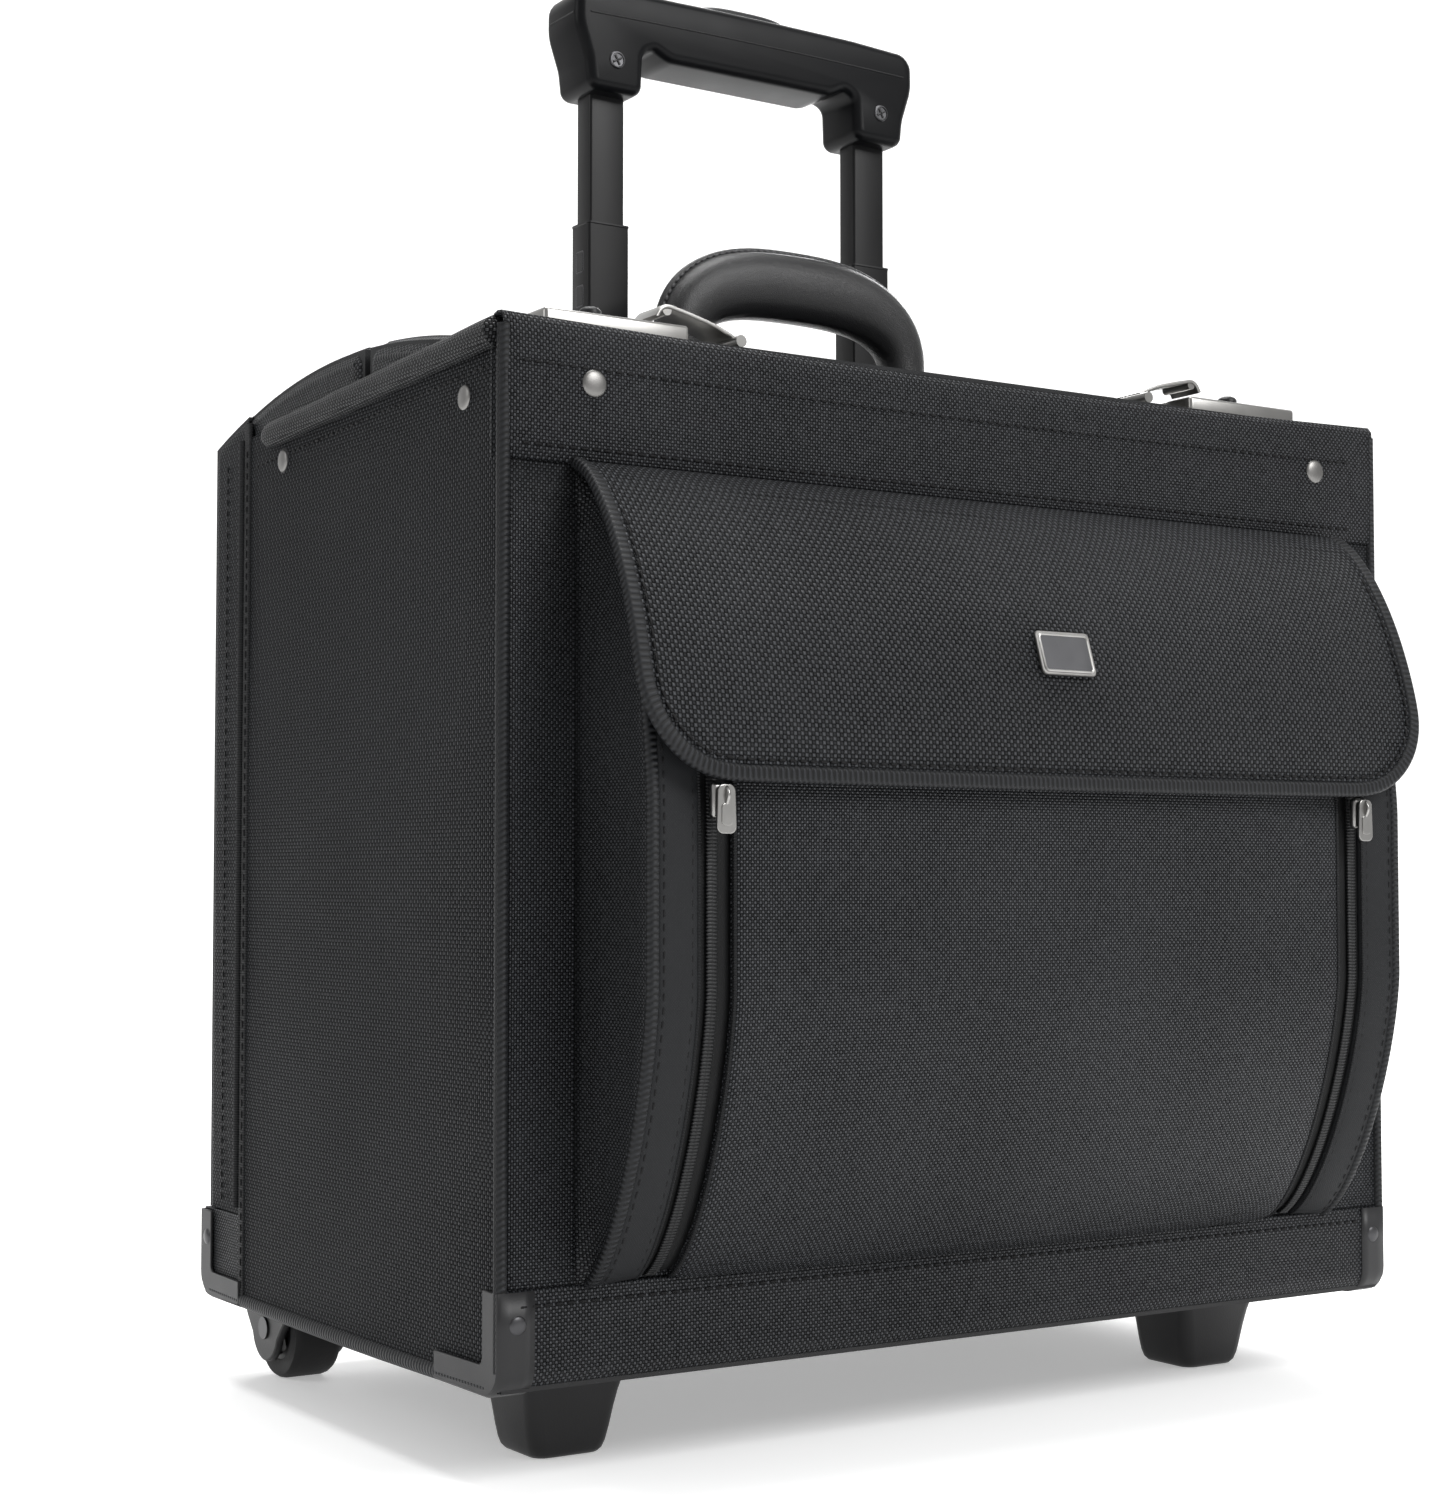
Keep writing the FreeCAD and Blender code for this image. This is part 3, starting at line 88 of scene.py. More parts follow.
class Maker:
    """Builds one node material; sockets are joined by small maths helpers."""

    def __init__(self, name):
        self.material = bpy.data.materials.new(name)
        self.material.use_nodes = True
        self.tree = self.material.node_tree
        self.shader = self.tree.nodes["Principled BSDF"]
        coordinates = self.tree.nodes.new("ShaderNodeTexCoord")
        self.object = coordinates.outputs["Object"]
        self.normal = coordinates.outputs["Normal"]

    def link(self, source, target):
        if isinstance(source, (int, float)):
            target.default_value = source
        else:
            self.tree.links.new(source, target)

    def math(self, operation, *values, clamp=False):
        node = self.tree.nodes.new("ShaderNodeMath")
        node.operation = operation
        node.use_clamp = clamp
        for value, socket in zip(values, node.inputs):
            self.link(value, socket)
        return node.outputs[0]

    def split(self, vector):
        node = self.tree.nodes.new("ShaderNodeSeparateXYZ")
        self.tree.links.new(vector, node.inputs[0])
        return node.outputs

    def noise(self, scale, detail=3.0):
        node = self.tree.nodes.new("ShaderNodeTexNoise")
        node.inputs["Scale"].default_value = scale
        node.inputs["Detail"].default_value = detail
        self.tree.links.new(self.object, node.inputs["Vector"])
        return node.outputs["Fac"]

    def ramp(self, factor, dark, light, low=0.0, high=1.0):
        node = self.tree.nodes.new("ShaderNodeValToRGB")
        node.color_ramp.elements[0].position = low
        node.color_ramp.elements[0].color = (*dark, 1)
        node.color_ramp.elements[1].position = high
        node.color_ramp.elements[1].color = (*light, 1)
        self.link(factor, node.inputs["Fac"])
        return node.outputs["Color"]

    def bump(self, height, distance):
        node = self.tree.nodes.new("ShaderNodeBump")
        node.inputs["Strength"].default_value = 1.0
        node.inputs["Distance"].default_value = distance
        self.link(height, node.inputs["Height"])
        return node.outputs["Normal"]

    def along(self):
        node = self.tree.nodes.new("ShaderNodeUVMap")
        node.uv_map = "along"
        return node.outputs["UV"]

    def flat_place(self):
        """Two coordinates in metres on whichever plane the surface faces most."""
        x, y, z = self.split(self.object)
        nx, ny, nz = [self.math("ABSOLUTE", part) for part in self.split(self.normal)]
        side = self.math("GREATER_THAN", nx, self.math("MAXIMUM", ny, nz))
        top = self.math("GREATER_THAN", nz, self.math("MAXIMUM", nx, ny))
        u = self.math("MULTIPLY_ADD", self.math("SUBTRACT", y, x), side, x)
        v = self.math("MULTIPLY_ADD", self.math("SUBTRACT", y, z), top, z)
        return u, v

    def weave(self, u, v, cell):
        """Height of a plain weave: domed crossings of one yarn, staggered, with the other sunk."""
        u = self.math("DIVIDE", u, cell)
        v = self.math("DIVIDE", v, cell)
        across = self.math("SINE", self.math("MULTIPLY", self.math("FRACT", u), math.pi))
        along = self.math("SINE", self.math("MULTIPLY", self.math("FRACT", v), math.pi))
        parity = self.math("ADD", self.math("FLOOR", u), self.math("FLOOR", v))
        over = self.math("FLOORED_MODULO", parity, 2.0)
        dome = self.math("MULTIPLY", across, along)
        high = self.math("MULTIPLY_ADD", self.math("POWER", dome, 0.5), 0.85, 0.15)
        low = self.math("MULTIPLY", self.math("POWER", dome, 0.7), 0.38)
        return self.math("MULTIPLY_ADD", self.math("SUBTRACT", high, low), over, low)

    def finish(self, color, normal=None, **sockets):
        if isinstance(color, tuple):
            self.shader.inputs["Base Color"].default_value = (*color, 1)
        else:
            self.tree.links.new(color, self.shader.inputs["Base Color"])
        if normal is not None:
            self.tree.links.new(normal, self.shader.inputs["Normal"])
        for name, value in sockets.items():
            self.link(value, self.shader.inputs[name.replace("_", " ").title().replace("Ior", "IOR")])
        return self.material


def scaled(color, factor):
    return tuple(part * factor for part in color)


def woven(name, color, cell, depth, roughness=0.42, shine=0.42):
    """Ballistic nylon: fat glossy yarns, with painted shade in the gaps and painted highlights on the
    raised crossings, and slow changes of tone.
    """
    m = Maker(name)
    u, v = m.flat_place()
    height = m.weave(u, v, cell)
    tone = m.noise(9.0, 2.0)
    slub = m.math("SUBTRACT", m.noise(420.0, 2.0), 0.5)
    # The weave height goes into the colour as painted shade in the gaps and painted highlights on the
    # raised crossings; the slubs and the slow tone are the cloth's own.
    painted_light_and_tone = m.math("MULTIPLY_ADD", slub, 0.35, height)
    painted_light_and_tone = m.math("ADD", painted_light_and_tone, m.math("MULTIPLY", m.math("SUBTRACT", tone, 0.5), 0.25))
    shade = m.ramp(painted_light_and_tone, scaled(color, 0.1), scaled(color, 2.6), 0.12, 1.15)
    rough = m.math("MULTIPLY_ADD", height, -0.16, roughness + 0.12)
    shine = m.math("MULTIPLY_ADD", painted_light_and_tone, shine, 0.02, clamp=True)
    return m.finish(shade, m.bump(height, depth), roughness=rough, specular_ior_level=shine,
                    sheen_weight=0.01, sheen_roughness=0.4)


def bias_bound(name, color):
    """Woven cloth cut on the bias and rolled over an edge: slanting ribs round the roll."""
    pitch = 0.0012
    m = Maker(name)
    u, v, _ = m.split(m.along())
    slant = m.math("ADD", m.math("DIVIDE", u, pitch), m.math("MULTIPLY", v, 4.0))
    counter = m.math("SUBTRACT", m.math("DIVIDE", u, pitch), m.math("MULTIPLY", v, 4.0))
    rib = m.math("MULTIPLY_ADD", m.math("SINE", m.math("MULTIPLY", slant, math.pi)), 0.5, 0.5)
    cross = m.math("MULTIPLY_ADD", m.math("SINE", m.math("MULTIPLY", counter, math.pi)), 0.5, 0.5)
    height = m.math("MULTIPLY_ADD", cross, 0.35, m.math("MULTIPLY", rib, 0.65))
    # The rib height goes into the colour: painted shade in the grooves and painted highlights on the
    # ridges.
    shade = m.ramp(height, scaled(color, 0.2), scaled(color, 2.2), 0.1, 1.0)
    return m.finish(shade, m.bump(height, 0.0004), roughness=0.52, specular_ior_level=0.22)


def smooth_cloth(name, color, cell=0.0007, depth=0.00008):
    """Fine lining, tape and webbing."""
    m = Maker(name)
    u, v = m.flat_place()
    height = m.weave(u, v, cell)
    # Colour follows random tone and the weave height: the tone is the cloth's own, the height adds
    # painted shade in the gaps.
    shade = m.ramp(m.math("MULTIPLY_ADD", m.noise(60.0), 0.4, height), scaled(color, 0.6),
                   scaled(color, 1.3), 0.1, 1.2)
    return m.finish(shade, m.bump(height, depth), roughness=0.62, specular_ior_level=0.22)


def ribbed(name, color):
    """Grosgrain binding: fine ribs across the length of the tape."""
    pitch = 0.0011
    m = Maker(name)
    u = m.split(m.along())[0]
    rib = m.math("SINE", m.math("MULTIPLY", u, 2 * math.pi / pitch))
    rib = m.math("MULTIPLY_ADD", rib, 0.5, 0.5)
    # Colour follows the ribs and random tone: painted shade in the grooves, painted highlights on the
    # crests; the tone is the tape's own.
    shade = m.ramp(m.math("MULTIPLY_ADD", m.noise(80.0), 0.3, rib), scaled(color, 0.55),
                   scaled(color, 1.35), 0.1, 1.1)
    return m.finish(shade, m.bump(rib, 0.00022), roughness=0.6, specular_ior_level=0.2)


def coated(name, color, roughness, grain, depth=0.0001):
    """Leather with a fine grain."""
    m = Maker(name)
    cells = m.tree.nodes.new("ShaderNodeTexVoronoi")
    cells.feature = "DISTANCE_TO_EDGE"
    cells.inputs["Scale"].default_value = grain
    m.tree.links.new(m.object, cells.inputs["Vector"])
    crease = m.math("POWER", m.math("MULTIPLY", cells.outputs["Distance"], 3.0, clamp=True), 0.5)
    fine = m.math("MULTIPLY_ADD", m.noise(grain * 2.2, 4.0), 0.5, crease)
    shade = m.ramp(m.noise(22.0, 3.0), scaled(color, 0.8), scaled(color, 1.25), 0.3, 0.7)
    rough = m.math("MULTIPLY_ADD", m.noise(30.0), 0.16, roughness - 0.08)
    return m.finish(shade, m.bump(fine, depth), roughness=rough, specular_ior_level=0.42)


def moulded(name, color, roughness=0.42, depth=0.00006, scale=1400.0, shine=0.3):
    """Injection-moulded plastic or paint with a spark-eroded texture."""
    m = Maker(name)
    fine = m.noise(scale, 2.0)
    shade = m.ramp(m.noise(14.0), scaled(color, 0.85), scaled(color, 1.2), 0.3, 0.7)
    rough = m.math("MULTIPLY_ADD", m.noise(40.0), 0.14, roughness - 0.07)
    return m.finish(shade, m.bump(fine, depth), roughness=rough, specular_ior_level=shine)


def metal(name, color, roughness, scratch=0.05):
    """Plated metal with faint wipe marks."""
    m = Maker(name)
    marks = m.noise(120.0, 2.0)
    rough = m.math("MULTIPLY_ADD", marks, scratch * 2, roughness - scratch)
    shade = m.ramp(m.noise(50.0), scaled(color, 0.88), scaled(color, 1.05), 0.3, 0.7)
    return m.finish(shade, m.bump(marks, 0.000006), roughness=rough, metallic=1.0)


WEAVE = woven("front_weave", (0.0120, 0.0130, 0.0150), 0.00115, 0.0007)
# A darker, less shiny copy of the front nylon for the sides and the rear door: painted shade for the
# faces the lamps light less.
SHADED_SIDE_WEAVE = woven("side_weave", (0.0105, 0.0112, 0.0126), 0.0015, 0.0010, 0.44, 0.07)
FLAP_WEAVE = woven("flap_weave", (0.0120, 0.0130, 0.0150), 0.0016, 0.0011)
BAND_WEAVE = woven("band_weave", (0.0108, 0.0116, 0.0134), 0.00125, 0.0007)
GUSSET = woven("gusset_weave", (0.0085, 0.0092, 0.0104), 0.0011, 0.0004)
LINING = smooth_cloth("lining", (0.012, 0.0125, 0.0135))
ZIP_CLOTH = smooth_cloth("zip_cloth", (0.0025, 0.0027, 0.003), 0.0006)
COIL = moulded("zip_coil", (0.010, 0.0104, 0.011), 0.4, 0.00001, 900.0)
NYLON_BAND = smooth_cloth("smooth_nylon", (0.0080, 0.0086, 0.0098), 0.0006, 0.00008)
BINDING = ribbed("binding", (0.0048, 0.0052, 0.006))
EDGE = bias_bound("bias_edge", (0.0078, 0.0083, 0.0094))
THREAD = smooth_cloth("thread", (0.0015, 0.0015, 0.002), 0.0004)
PALE_THREAD = smooth_cloth("pale_thread", (0.062, 0.062, 0.065), 0.0004)
ROLL = woven("padded_edge", (0.0066, 0.0071, 0.0080), 0.0012, 0.0005)
LEATHER = coated("handle_leather", (0.0046, 0.0046, 0.0052), 0.33, 1300.0, 0.00006)
# Nickel kept darker than the plated metal's own brightness: painted reflection of the dark case in its
# faces.
NICKEL = metal("nickel", (0.32, 0.315, 0.305), 0.3)
SATIN = metal("satin_nickel", (0.20, 0.196, 0.19), 0.40)
STEEL = metal("steel", (0.20, 0.20, 0.205), 0.35, 0.1)
DARK_STEEL = metal("dark_steel", (0.07, 0.07, 0.073), 0.38, 0.1)
GUARD = moulded("guard_paint", (0.0150, 0.0150, 0.0160), 0.42, 0.00003, 1800.0)
BLACK = moulded("black_plastic", (0.0070, 0.0070, 0.0077), 0.42)
TUBE = moulded("tube_finish", (0.0038, 0.0038, 0.0042), 0.36, 0.00001, 2200.0, 0.22)
GRIP = moulded("grip_plastic", (0.0034, 0.0036, 0.0042), 0.36, 0.00003, 1500.0, 0.11)
BUTTON = moulded("button_plastic", (0.0095, 0.010, 0.011), 0.36, 0.00003, 1500.0)
RUBBER = moulded("tyre_rubber", (0.0055, 0.0055, 0.0058), 0.62, 0.0001, 700.0)


# --- making pieces -------------------------------------------------------------------------------

def make(name, points, faces, material, body, slot, replaces=(), uvs=None, smooth=40):
    """One piece from points in millimetres, riding on a body."""
    mesh = bpy.data.meshes.new(name)
    mesh.from_pydata([Vector(p) * MM for p in points], [], faces)
    if uvs:
        layer = mesh.uv_layers.new(name="along")
        for loop in mesh.loops:
            layer.data[loop.index].uv = uvs[loop.vertex_index]
    edit = bmesh.new()
    edit.from_mesh(mesh)
    bmesh.ops.recalc_face_normals(edit, faces=edit.faces)
    edit.to_mesh(mesh)
    edit.free()
    piece = bpy.data.objects.new(name, mesh)
    bpy.context.scene.collection.objects.link(piece)
    mesh.materials.append(material)
    mesh.polygons.foreach_set("use_smooth", [True] * len(mesh.polygons))
    mesh.set_sharp_from_angle(angle=math.radians(smooth))
    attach(piece, body)
    if replaces:
        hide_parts(*replaces)
    return piece


def quads(rows, columns, closed_u=False, closed_v=False, skip=None):
    """Quad faces of a grid of points."""
    faces = []
    for i in range(rows - (0 if closed_v else 1)):
        for j in range(columns - (0 if closed_u else 1)):
            if skip and skip(i, j):
                continue
            a, b = i * columns, ((i + 1) % rows) * columns
            k = (j + 1) % columns
            faces.append((a + j, a + k, b + k, b + j))
    return faces


def loft(name, rings, *look, closed=False, capped=True, smooth=40, replaces=()):
    """A skin over rings of points; closed joins the last ring to the first."""
    size = len(rings[0])
    points = [p for ring in rings for p in ring]
    faces = quads(len(rings), size, closed_u=True, closed_v=closed)
    if capped and not closed:
        faces.append(tuple(reversed(range(size))))
        faces.append(tuple(range(len(points) - size, len(points))))
    uvs = []
    run = 0.0
    for i, ring in enumerate(rings):
        if i:
            run += (sum(ring, Vector()) / size - sum(rings[i - 1], Vector()) / size).length * MM
        uvs += [(run, j / size) for j in range(size)]
    return make(name, points, faces, *look, replaces, uvs, smooth)


def sheet(name, rows, thick, *look, replaces=(), uvs=None, skip=None):
    """A sheet over rows of points, thickened evenly to both sides."""
    points = [p for row in rows for p in row]
    faces = quads(len(rows), len(rows[0]), skip=skip)
    piece = make(name, points, faces, *look, replaces, uvs)
    wall = piece.modifiers.new("thickness", "SOLIDIFY")
    wall.thickness = thick * MM
    wall.offset = 0
    return piece


def frames(path, up):
    """Side and lift directions along a path, square to it; up may be a function of the index."""
    result = []
    for i in range(len(path)):
        ahead = path[min(i + 1, len(path) - 1)]
        behind = path[max(i - 1, 0)]
        tangent = (ahead - behind).normalized()
        wanted = up(i) if callable(up) else up
        side = tangent.cross(wanted).normalized()
        result.append((side, side.cross(tangent).normalized()))
    return result


def sweep(name, path, profile, up, *look, taper=None, replaces=()):
    """A closed profile carried along a path; taper(i) scales it."""
    rings = []
    for i, (point, (side, lift)) in enumerate(zip(path, frames(path, up))):
        scale = taper(i) if taper else 1.0
        rings.append([point + side * (u * scale) + lift * (v * scale) for u, v in profile])
    return loft(name, rings, *look, replaces=replaces)


def circle(radius, count=12):
    return [(radius * math.cos(2 * math.pi * k / count), radius * math.sin(2 * math.pi * k / count))
            for k in range(count)]


def rounded(wide, tall, radius, count=4):
    """A rectangle with rounded corners, as points round its edge."""
    points = []
    for quarter, (sx, sy) in enumerate(((1, 1), (-1, 1), (-1, -1), (1, -1))):
        centre = (sx * (wide / 2 - radius), sy * (tall / 2 - radius))
        for k in range(count + 1):
            angle = math.pi / 2 * (quarter + k / count)
            points.append((centre[0] + radius * math.cos(angle),
                           centre[1] + radius * math.sin(angle)))
    return points


def flat_ring(x, y, z, outline):
    """An outline laid level at a point."""
    return [Vector((x + u, y + v, z)) for u, v in outline]


def upright_ring(x, y, z, outline, lean=0.0):
    """An outline stood up facing forward at a point; lean is how far back it goes as it rises."""
    return [Vector((x + u, y + v * lean, z + v)) for u, v in outline]


def resample(path, step):
    """Points at an even spacing along a path."""
    points = [path[0]]
    left = step
    for a, b in zip(path, path[1:]):
        span = (b - a).length
        place = left
        while place <= span:
            points.append(a.lerp(b, place / span))
            place += step
        left = place - span
    return points


def smooth_path(points, count=10):
    """A Catmull-Rom curve through the points."""
    ends = [points[0] * 2 - points[1], *points, points[-1] * 2 - points[-2]]
    result = []
    for a, b, c, d in zip(ends, ends[1:], ends[2:], ends[3:]):
        for k in range(count):
            t = k / count
            result.append(0.5 * ((2 * b) + (c - a) * t + (2 * a - 5 * b + 4 * c - d) * t**2
                                 + (3 * b - a - 3 * c + d) * t**3))
    return result + [points[-1]]


def ticks(name, places, length, radius, *look):
    """Many short rounded bars, such as stitches or coil turns, as one piece.

    places holds (centre, direction, normal)."""
    points, faces = [], []
    for centre, direction, normal in places:
        side = direction.cross(normal).normalized()
        first = len(points)
        points.append(centre - direction * (length / 2))
        for t in (-0.32, 0.32):
            middle = centre + direction * (length * t)
            for k in range(6):
                angle = math.pi * k / 3
                points.append(middle + side * (radius * math.cos(angle))
                              + normal * (radius * 0.8 * math.sin(angle)))
        points.append(centre + direction * (length / 2))
        for k in range(6):
            n = (k + 1) % 6
            faces.append((first, first + 1 + n, first + 1 + k))
            faces.append((first + 1 + k, first + 1 + n, first + 7 + n, first + 7 + k))
            faces.append((first + 7 + k, first + 7 + n, first + 13))
    return make(name, points, faces, *look, smooth=80)


def stitches(name, path, normal, body, slot, pitch=5.0, length=3.4, radius=0.58, lift=0.2,
             material=THREAD):
    """A run of thread along a path on a surface whose outward direction is normal."""
    spots = resample(path, pitch)
    places = []
    for a, b in zip(spots, spots[1:]):
        direction = (b - a).normalized()
        places.append((a + normal * lift, direction, normal))
    return ticks(name, places, length, radius, material, body, slot)


def dome(name, centre, normal, radius, height, *look, replaces=()):
    """A domed rivet head on a surface that faces along normal."""
    first = normal.orthogonal().normalized()
    second = normal.cross(first)
    rings = []
    for r, h in ((1.0, -0.6), (1.0, 0.15), (0.96, 0.38), (0.8, 0.66), (0.52, 0.88), (0.2, 0.99)):
        rings.append([centre + normal * (height * h)
                      + first * (radius * r * math.cos(math.pi * k / 12))
                      + second * (radius * r * math.sin(math.pi * k / 12)) for k in range(24)])
    return loft(name, rings, *look, replaces=replaces)


def lathe(name, profile, centre, *look, replaces=()):
    """A closed outline of (radius, x) turned about an axis along X."""
    count = 48
    rings = []
    for k in range(count):
        angle = 2 * math.pi * k / count
        rings.append([centre + Vector((x, r * math.cos(angle), r * math.sin(angle)))
                      for r, x in profile])
    return loft(name, rings, *look, closed=True, smooth=50, replaces=replaces)


def from_bmesh(name, edit, *look, replaces=(), smooth=40):
    """A piece from an edited mesh, which is freed."""
    edit.verts.index_update()
    points = [v.co.copy() for v in edit.verts]
    faces = [tuple(v.index for v in face.verts) for face in edit.faces]
    edit.free()
    return make(name, points, faces, *look, replaces, smooth=smooth)


def block(name, low, high, radius, *look, replaces=()):
    """A box with rounded edges between two corners."""
    edit = bmesh.new()
    bmesh.ops.create_cube(edit, size=1)
    centre = (low + high) / 2
    for vertex in edit.verts:
        vertex.co = Vector(c * s for c, s in zip(vertex.co, high - low)) + centre
    bmesh.ops.bevel(edit, geom=edit.edges[:], offset=radius, segments=3, profile=0.5, affect="EDGES")
    return from_bmesh(name, edit, *look, replaces=replaces)


def spread(low, high, count):
    return [low + (high - low) * k / (count - 1) for k in range(count)]


# --- the boarded box -----------------------------------------------------------------------------

def rim_sag(x):
    """The front rim dips slightly between its corners."""
    return -3.5 * math.cos(math.pi * x / (2 * HALF))


def across(name, section, half, thick, *look, warp=None, replaces=()):
    """A sheet whose section runs along the width of the case.

    section holds (depth, height, share of the warp that lifts it)."""
    rows = []
    for x in spread(-half, half, 60):
        lift = warp(x) if warp else 0.0
        rows.append([at(x, y, z + lift * weight) for y, z, weight in section])
    return sheet(name, rows, thick, *look, replaces=replaces)


def arc(centre, radius, start, end, count=6):
    """Points (y, z) on an arc, angles in degrees."""
    return [(centre[0] + radius * math.cos(math.radians(start + (end - start) * k / count)),
             centre[1] + radius * math.sin(math.radians(start + (end - start) * k / count)))
            for k in range(count + 1)]


def build_front():
    """The front cloth, its top and bottom bands, and the thread along them."""
    round_y = 9.0
    lower = [(y, z, 0) for y, z in arc((round_y + 0.6, round_y), round_y, 270, 180)]
    section = [(30, 0.0, 0), *lower, (0.5, 60, 0), (0.2, 200, 0), (0.6, TOP - 50, 0)]
    across("front_skin", section, HALF - 0.8, 1.0, WEAVE, "case", "ballistic_weave",
           replaces=("front_cover",))
    band = [(0.3, SEAM - 1.2, 0), (-0.5, SEAM, 0), (-0.8, SEAM + 4, 0.1), (-1.1, TOP - 25, 0.5),
            (-0.9, TOP - 8, 1), (-0.3, TOP - 2.4, 1), (1.4, TOP - 0.3, 1), (4.2, TOP, 1),
            (6.8, TOP - 0.6, 1), (8.6, TOP - 3, 1), (9.1, TOP - 12, 0.8), (9.1, SEAM, 0)]
    across("top_band", band, HALF + 0.2, 0.9, BAND_WEAVE, "case", "ballistic_weave", warp=rim_sag)
    low_arc = [(y, z, 0) for y, z in arc((round_y - 0.3, round_y), round_y + 0.8, 180, 262)]
    strip = [(0.5, 37.6, 0), (-0.7, 36.6, 0), (-1.2, 33, 0), *low_arc, (26, -0.9, 0)]
    across("bottom_band", strip, HALF - 0.4, 0.9, BAND_WEAVE, "case", "ballistic_weave")
    for name, z, y, warp in (("top_stitches", TOP - 18, -1.35, 0.6),
                             ("seam_stitches", SEAM + 5, -1.15, 0.1),
                             ("bottom_stitches", 31.5, -1.55, 0.0)):
        path = [at(x, y, z + rim_sag(x) * warp) for x in spread(-HALF + 9, HALF - 9, 80)]
        stitches(name, path, -Y, "case", "ballistic_weave")


def build_sides():
    """Each side's cloth, the welts round it and the binding at the door line."""
    fall = 0.035
    for side, s in SIDES:
        rows = []
        for z in [0.4, 3, 8] + spread(20, SIDE_TOP - 12, 30) + [SIDE_TOP - 4, SIDE_TOP - 0.4]:
            row = []
            for y in [2.0, 5, 10] + spread(20, DOOR_LINE - 14, 24) + [DOOR_LINE - 7, DOOR_LINE - 1]:
                edge = min(y, z + 4, SIDE_TOP - z + 4, DOOR_LINE - y + 2)
                puff = 0.9 * (1 - math.exp(-edge / 12)) - 1.1
                puff += 0.25 * math.sin(y / 37 + z / 61) * math.sin(z / 43)
                row.append(at(s * (HALF + puff), y, z))
            rows.append(row)
        sheet(f"side_skin_{side}", rows, 1.2, SHADED_SIDE_WEAVE, "case", "side_weave",
              replaces=(f"side_cover_{side}",))
        out = X * s
        path = [at(s * (HALF - 0.6), 0.9, z) for z in spread(8, TOP - 5, 40)]
        sweep(f"front_welt_{side}", path, circle(2.6), Y, EDGE, "case", "side_weave")
        path = [at(s * (HALF - 1.6), y, 1.8 - 1.6 * math.sin(math.pi * y / BACK))
                for y in spread(9, BACK - 9, 50)]
        sweep(f"bottom_welt_{side}", path, circle(3.4, 16), Z, EDGE, "case", "side_weave")
        path = [at(s * (HALF - 0.3), DOOR_LINE - 3.0, z) for z in spread(3, SIDE_TOP + 6, 40)]
        sweep(f"rear_binding_{side}", path, rounded(2.2, 6.4, 1.0), Y, BINDING,
              "case", "side_weave")
        path = [at(s * (HALF + 0.7), DOOR_LINE - 3.6, z) for z in spread(8, SIDE_TOP, 40)]
        stitches(f"rear_binding_stitches_{side}", path, out, "case", "side_weave")
        path = [at(s * (HALF - 0.1), y, SIDE_TOP - 7 - (y - 10) * fall) for y in spread(12, 238, 40)]
        stitches(f"rim_stitches_{side}", path, out, "case", "side_weave")
        build_roll(side, s)


def build_roll(side, s):
    """The padded roll: full along its length, closing to a rounded end at the front and the back."""
    low, high = corners("rim_rolls")
    radius = 6.0
    start = at(s * (HALF - 1), 3.0, TOP - 6.6)
    end = at(s * (HALF - 1), high.y - FRONT + 2, low.z - BASE + 6)
    path = [start.lerp(end, t) for t in spread(0, 1, 60)]

    def taper(i):
        t = i / 59
        nose = min(1.0, math.sqrt(max(0.0, 1 - (1 - min(t * 30, 1)) ** 2)) + 0.15)
        tail = math.sqrt(max(0.02, 1 - (1 - min((1 - t) * 22, 1)) ** 2))
        return nose * tail * (1 + 0.02 * math.sin(t * 23))

    roll = sweep(f"rim_roll_{side}", path, circle(radius, 20), Z, ROLL, "case",
                 "padded_roll", taper=taper, replaces=("rim_rolls",) if side == "left" else ())


def tunnel(name, half, y0, y1, floor, radius, *look, closed=(True, True), hole=None, replaces=()):
    """A crowned cap: a run of arches from y0 to y1 with rounded edges, open underneath.

    closed says whether its front and back ends turn down; hole is (x0, x1, y0, y1)."""
    steps = [radius * (1 - math.cos(math.pi / 2 * k / 4)) for k in range(4)]
    insets = [(d, radius - math.sqrt(radius**2 - (radius - d) ** 2)) for d in steps]
    stations = [(y0 + d, inset) for d, inset in insets] if closed[0] else []
    inner = spread(y0 + radius if closed[0] else y0, y1 - radius if closed[1] else y1, 22)
    if hole:
        inner = sorted(set(inner + [hole[2], hole[3]]))
    stations += [(y, 0.0) for y in inner]
    if closed[1]:
        stations += [(y1 - d, inset) for d, inset in reversed(insets)]
    xs = sorted(set(spread(-half + radius, half - radius, 37) + (list(hole[:2]) if hole else [])))
    rows = []
    for y, inset in stations:
        top = crown(min(max(y, y0), y1)) - inset
        h = half - inset
        edge = [(h, floor), (h, top - radius - 6), (h, top - radius)]
        for k in range(1, 5):
            angle = math.pi / 2 * k / 5
            edge.append((h - radius * (1 - math.cos(angle)), top - radius * (1 - math.sin(angle))))
        scale = (h - radius) / (half - radius)
        row = [at(-x, y, z) for x, z in edge]
        row += [at(x * scale, y, top) for x in xs]
        row += [at(x, y, z) for x, z in reversed(edge)]
        rows.append(row)
    if closed[0]:
        rows.insert(0, [Vector((p.x, FRONT + y0, min(p.z, BASE + floor))) for p in rows[0]])
    if closed[1]:
        rows.append([Vector((p.x, FRONT + y1, min(p.z, BASE + floor))) for p in rows[-1]])
    ys = [row[0].y - FRONT for row in rows]

    def skip(i, j):
        if not hole:
            return False
        x = (rows[i][j].x + rows[i][j + 1].x) / 2
        y = (ys[i] + ys[i + 1]) / 2
        flat_top = 6 < j < len(rows[i]) - 8
        return flat_top and hole[0] < x < hole[1] and hole[2] < y < hole[3]

    return sheet(name, rows, 1.1, *look, replaces=replaces, skip=skip)


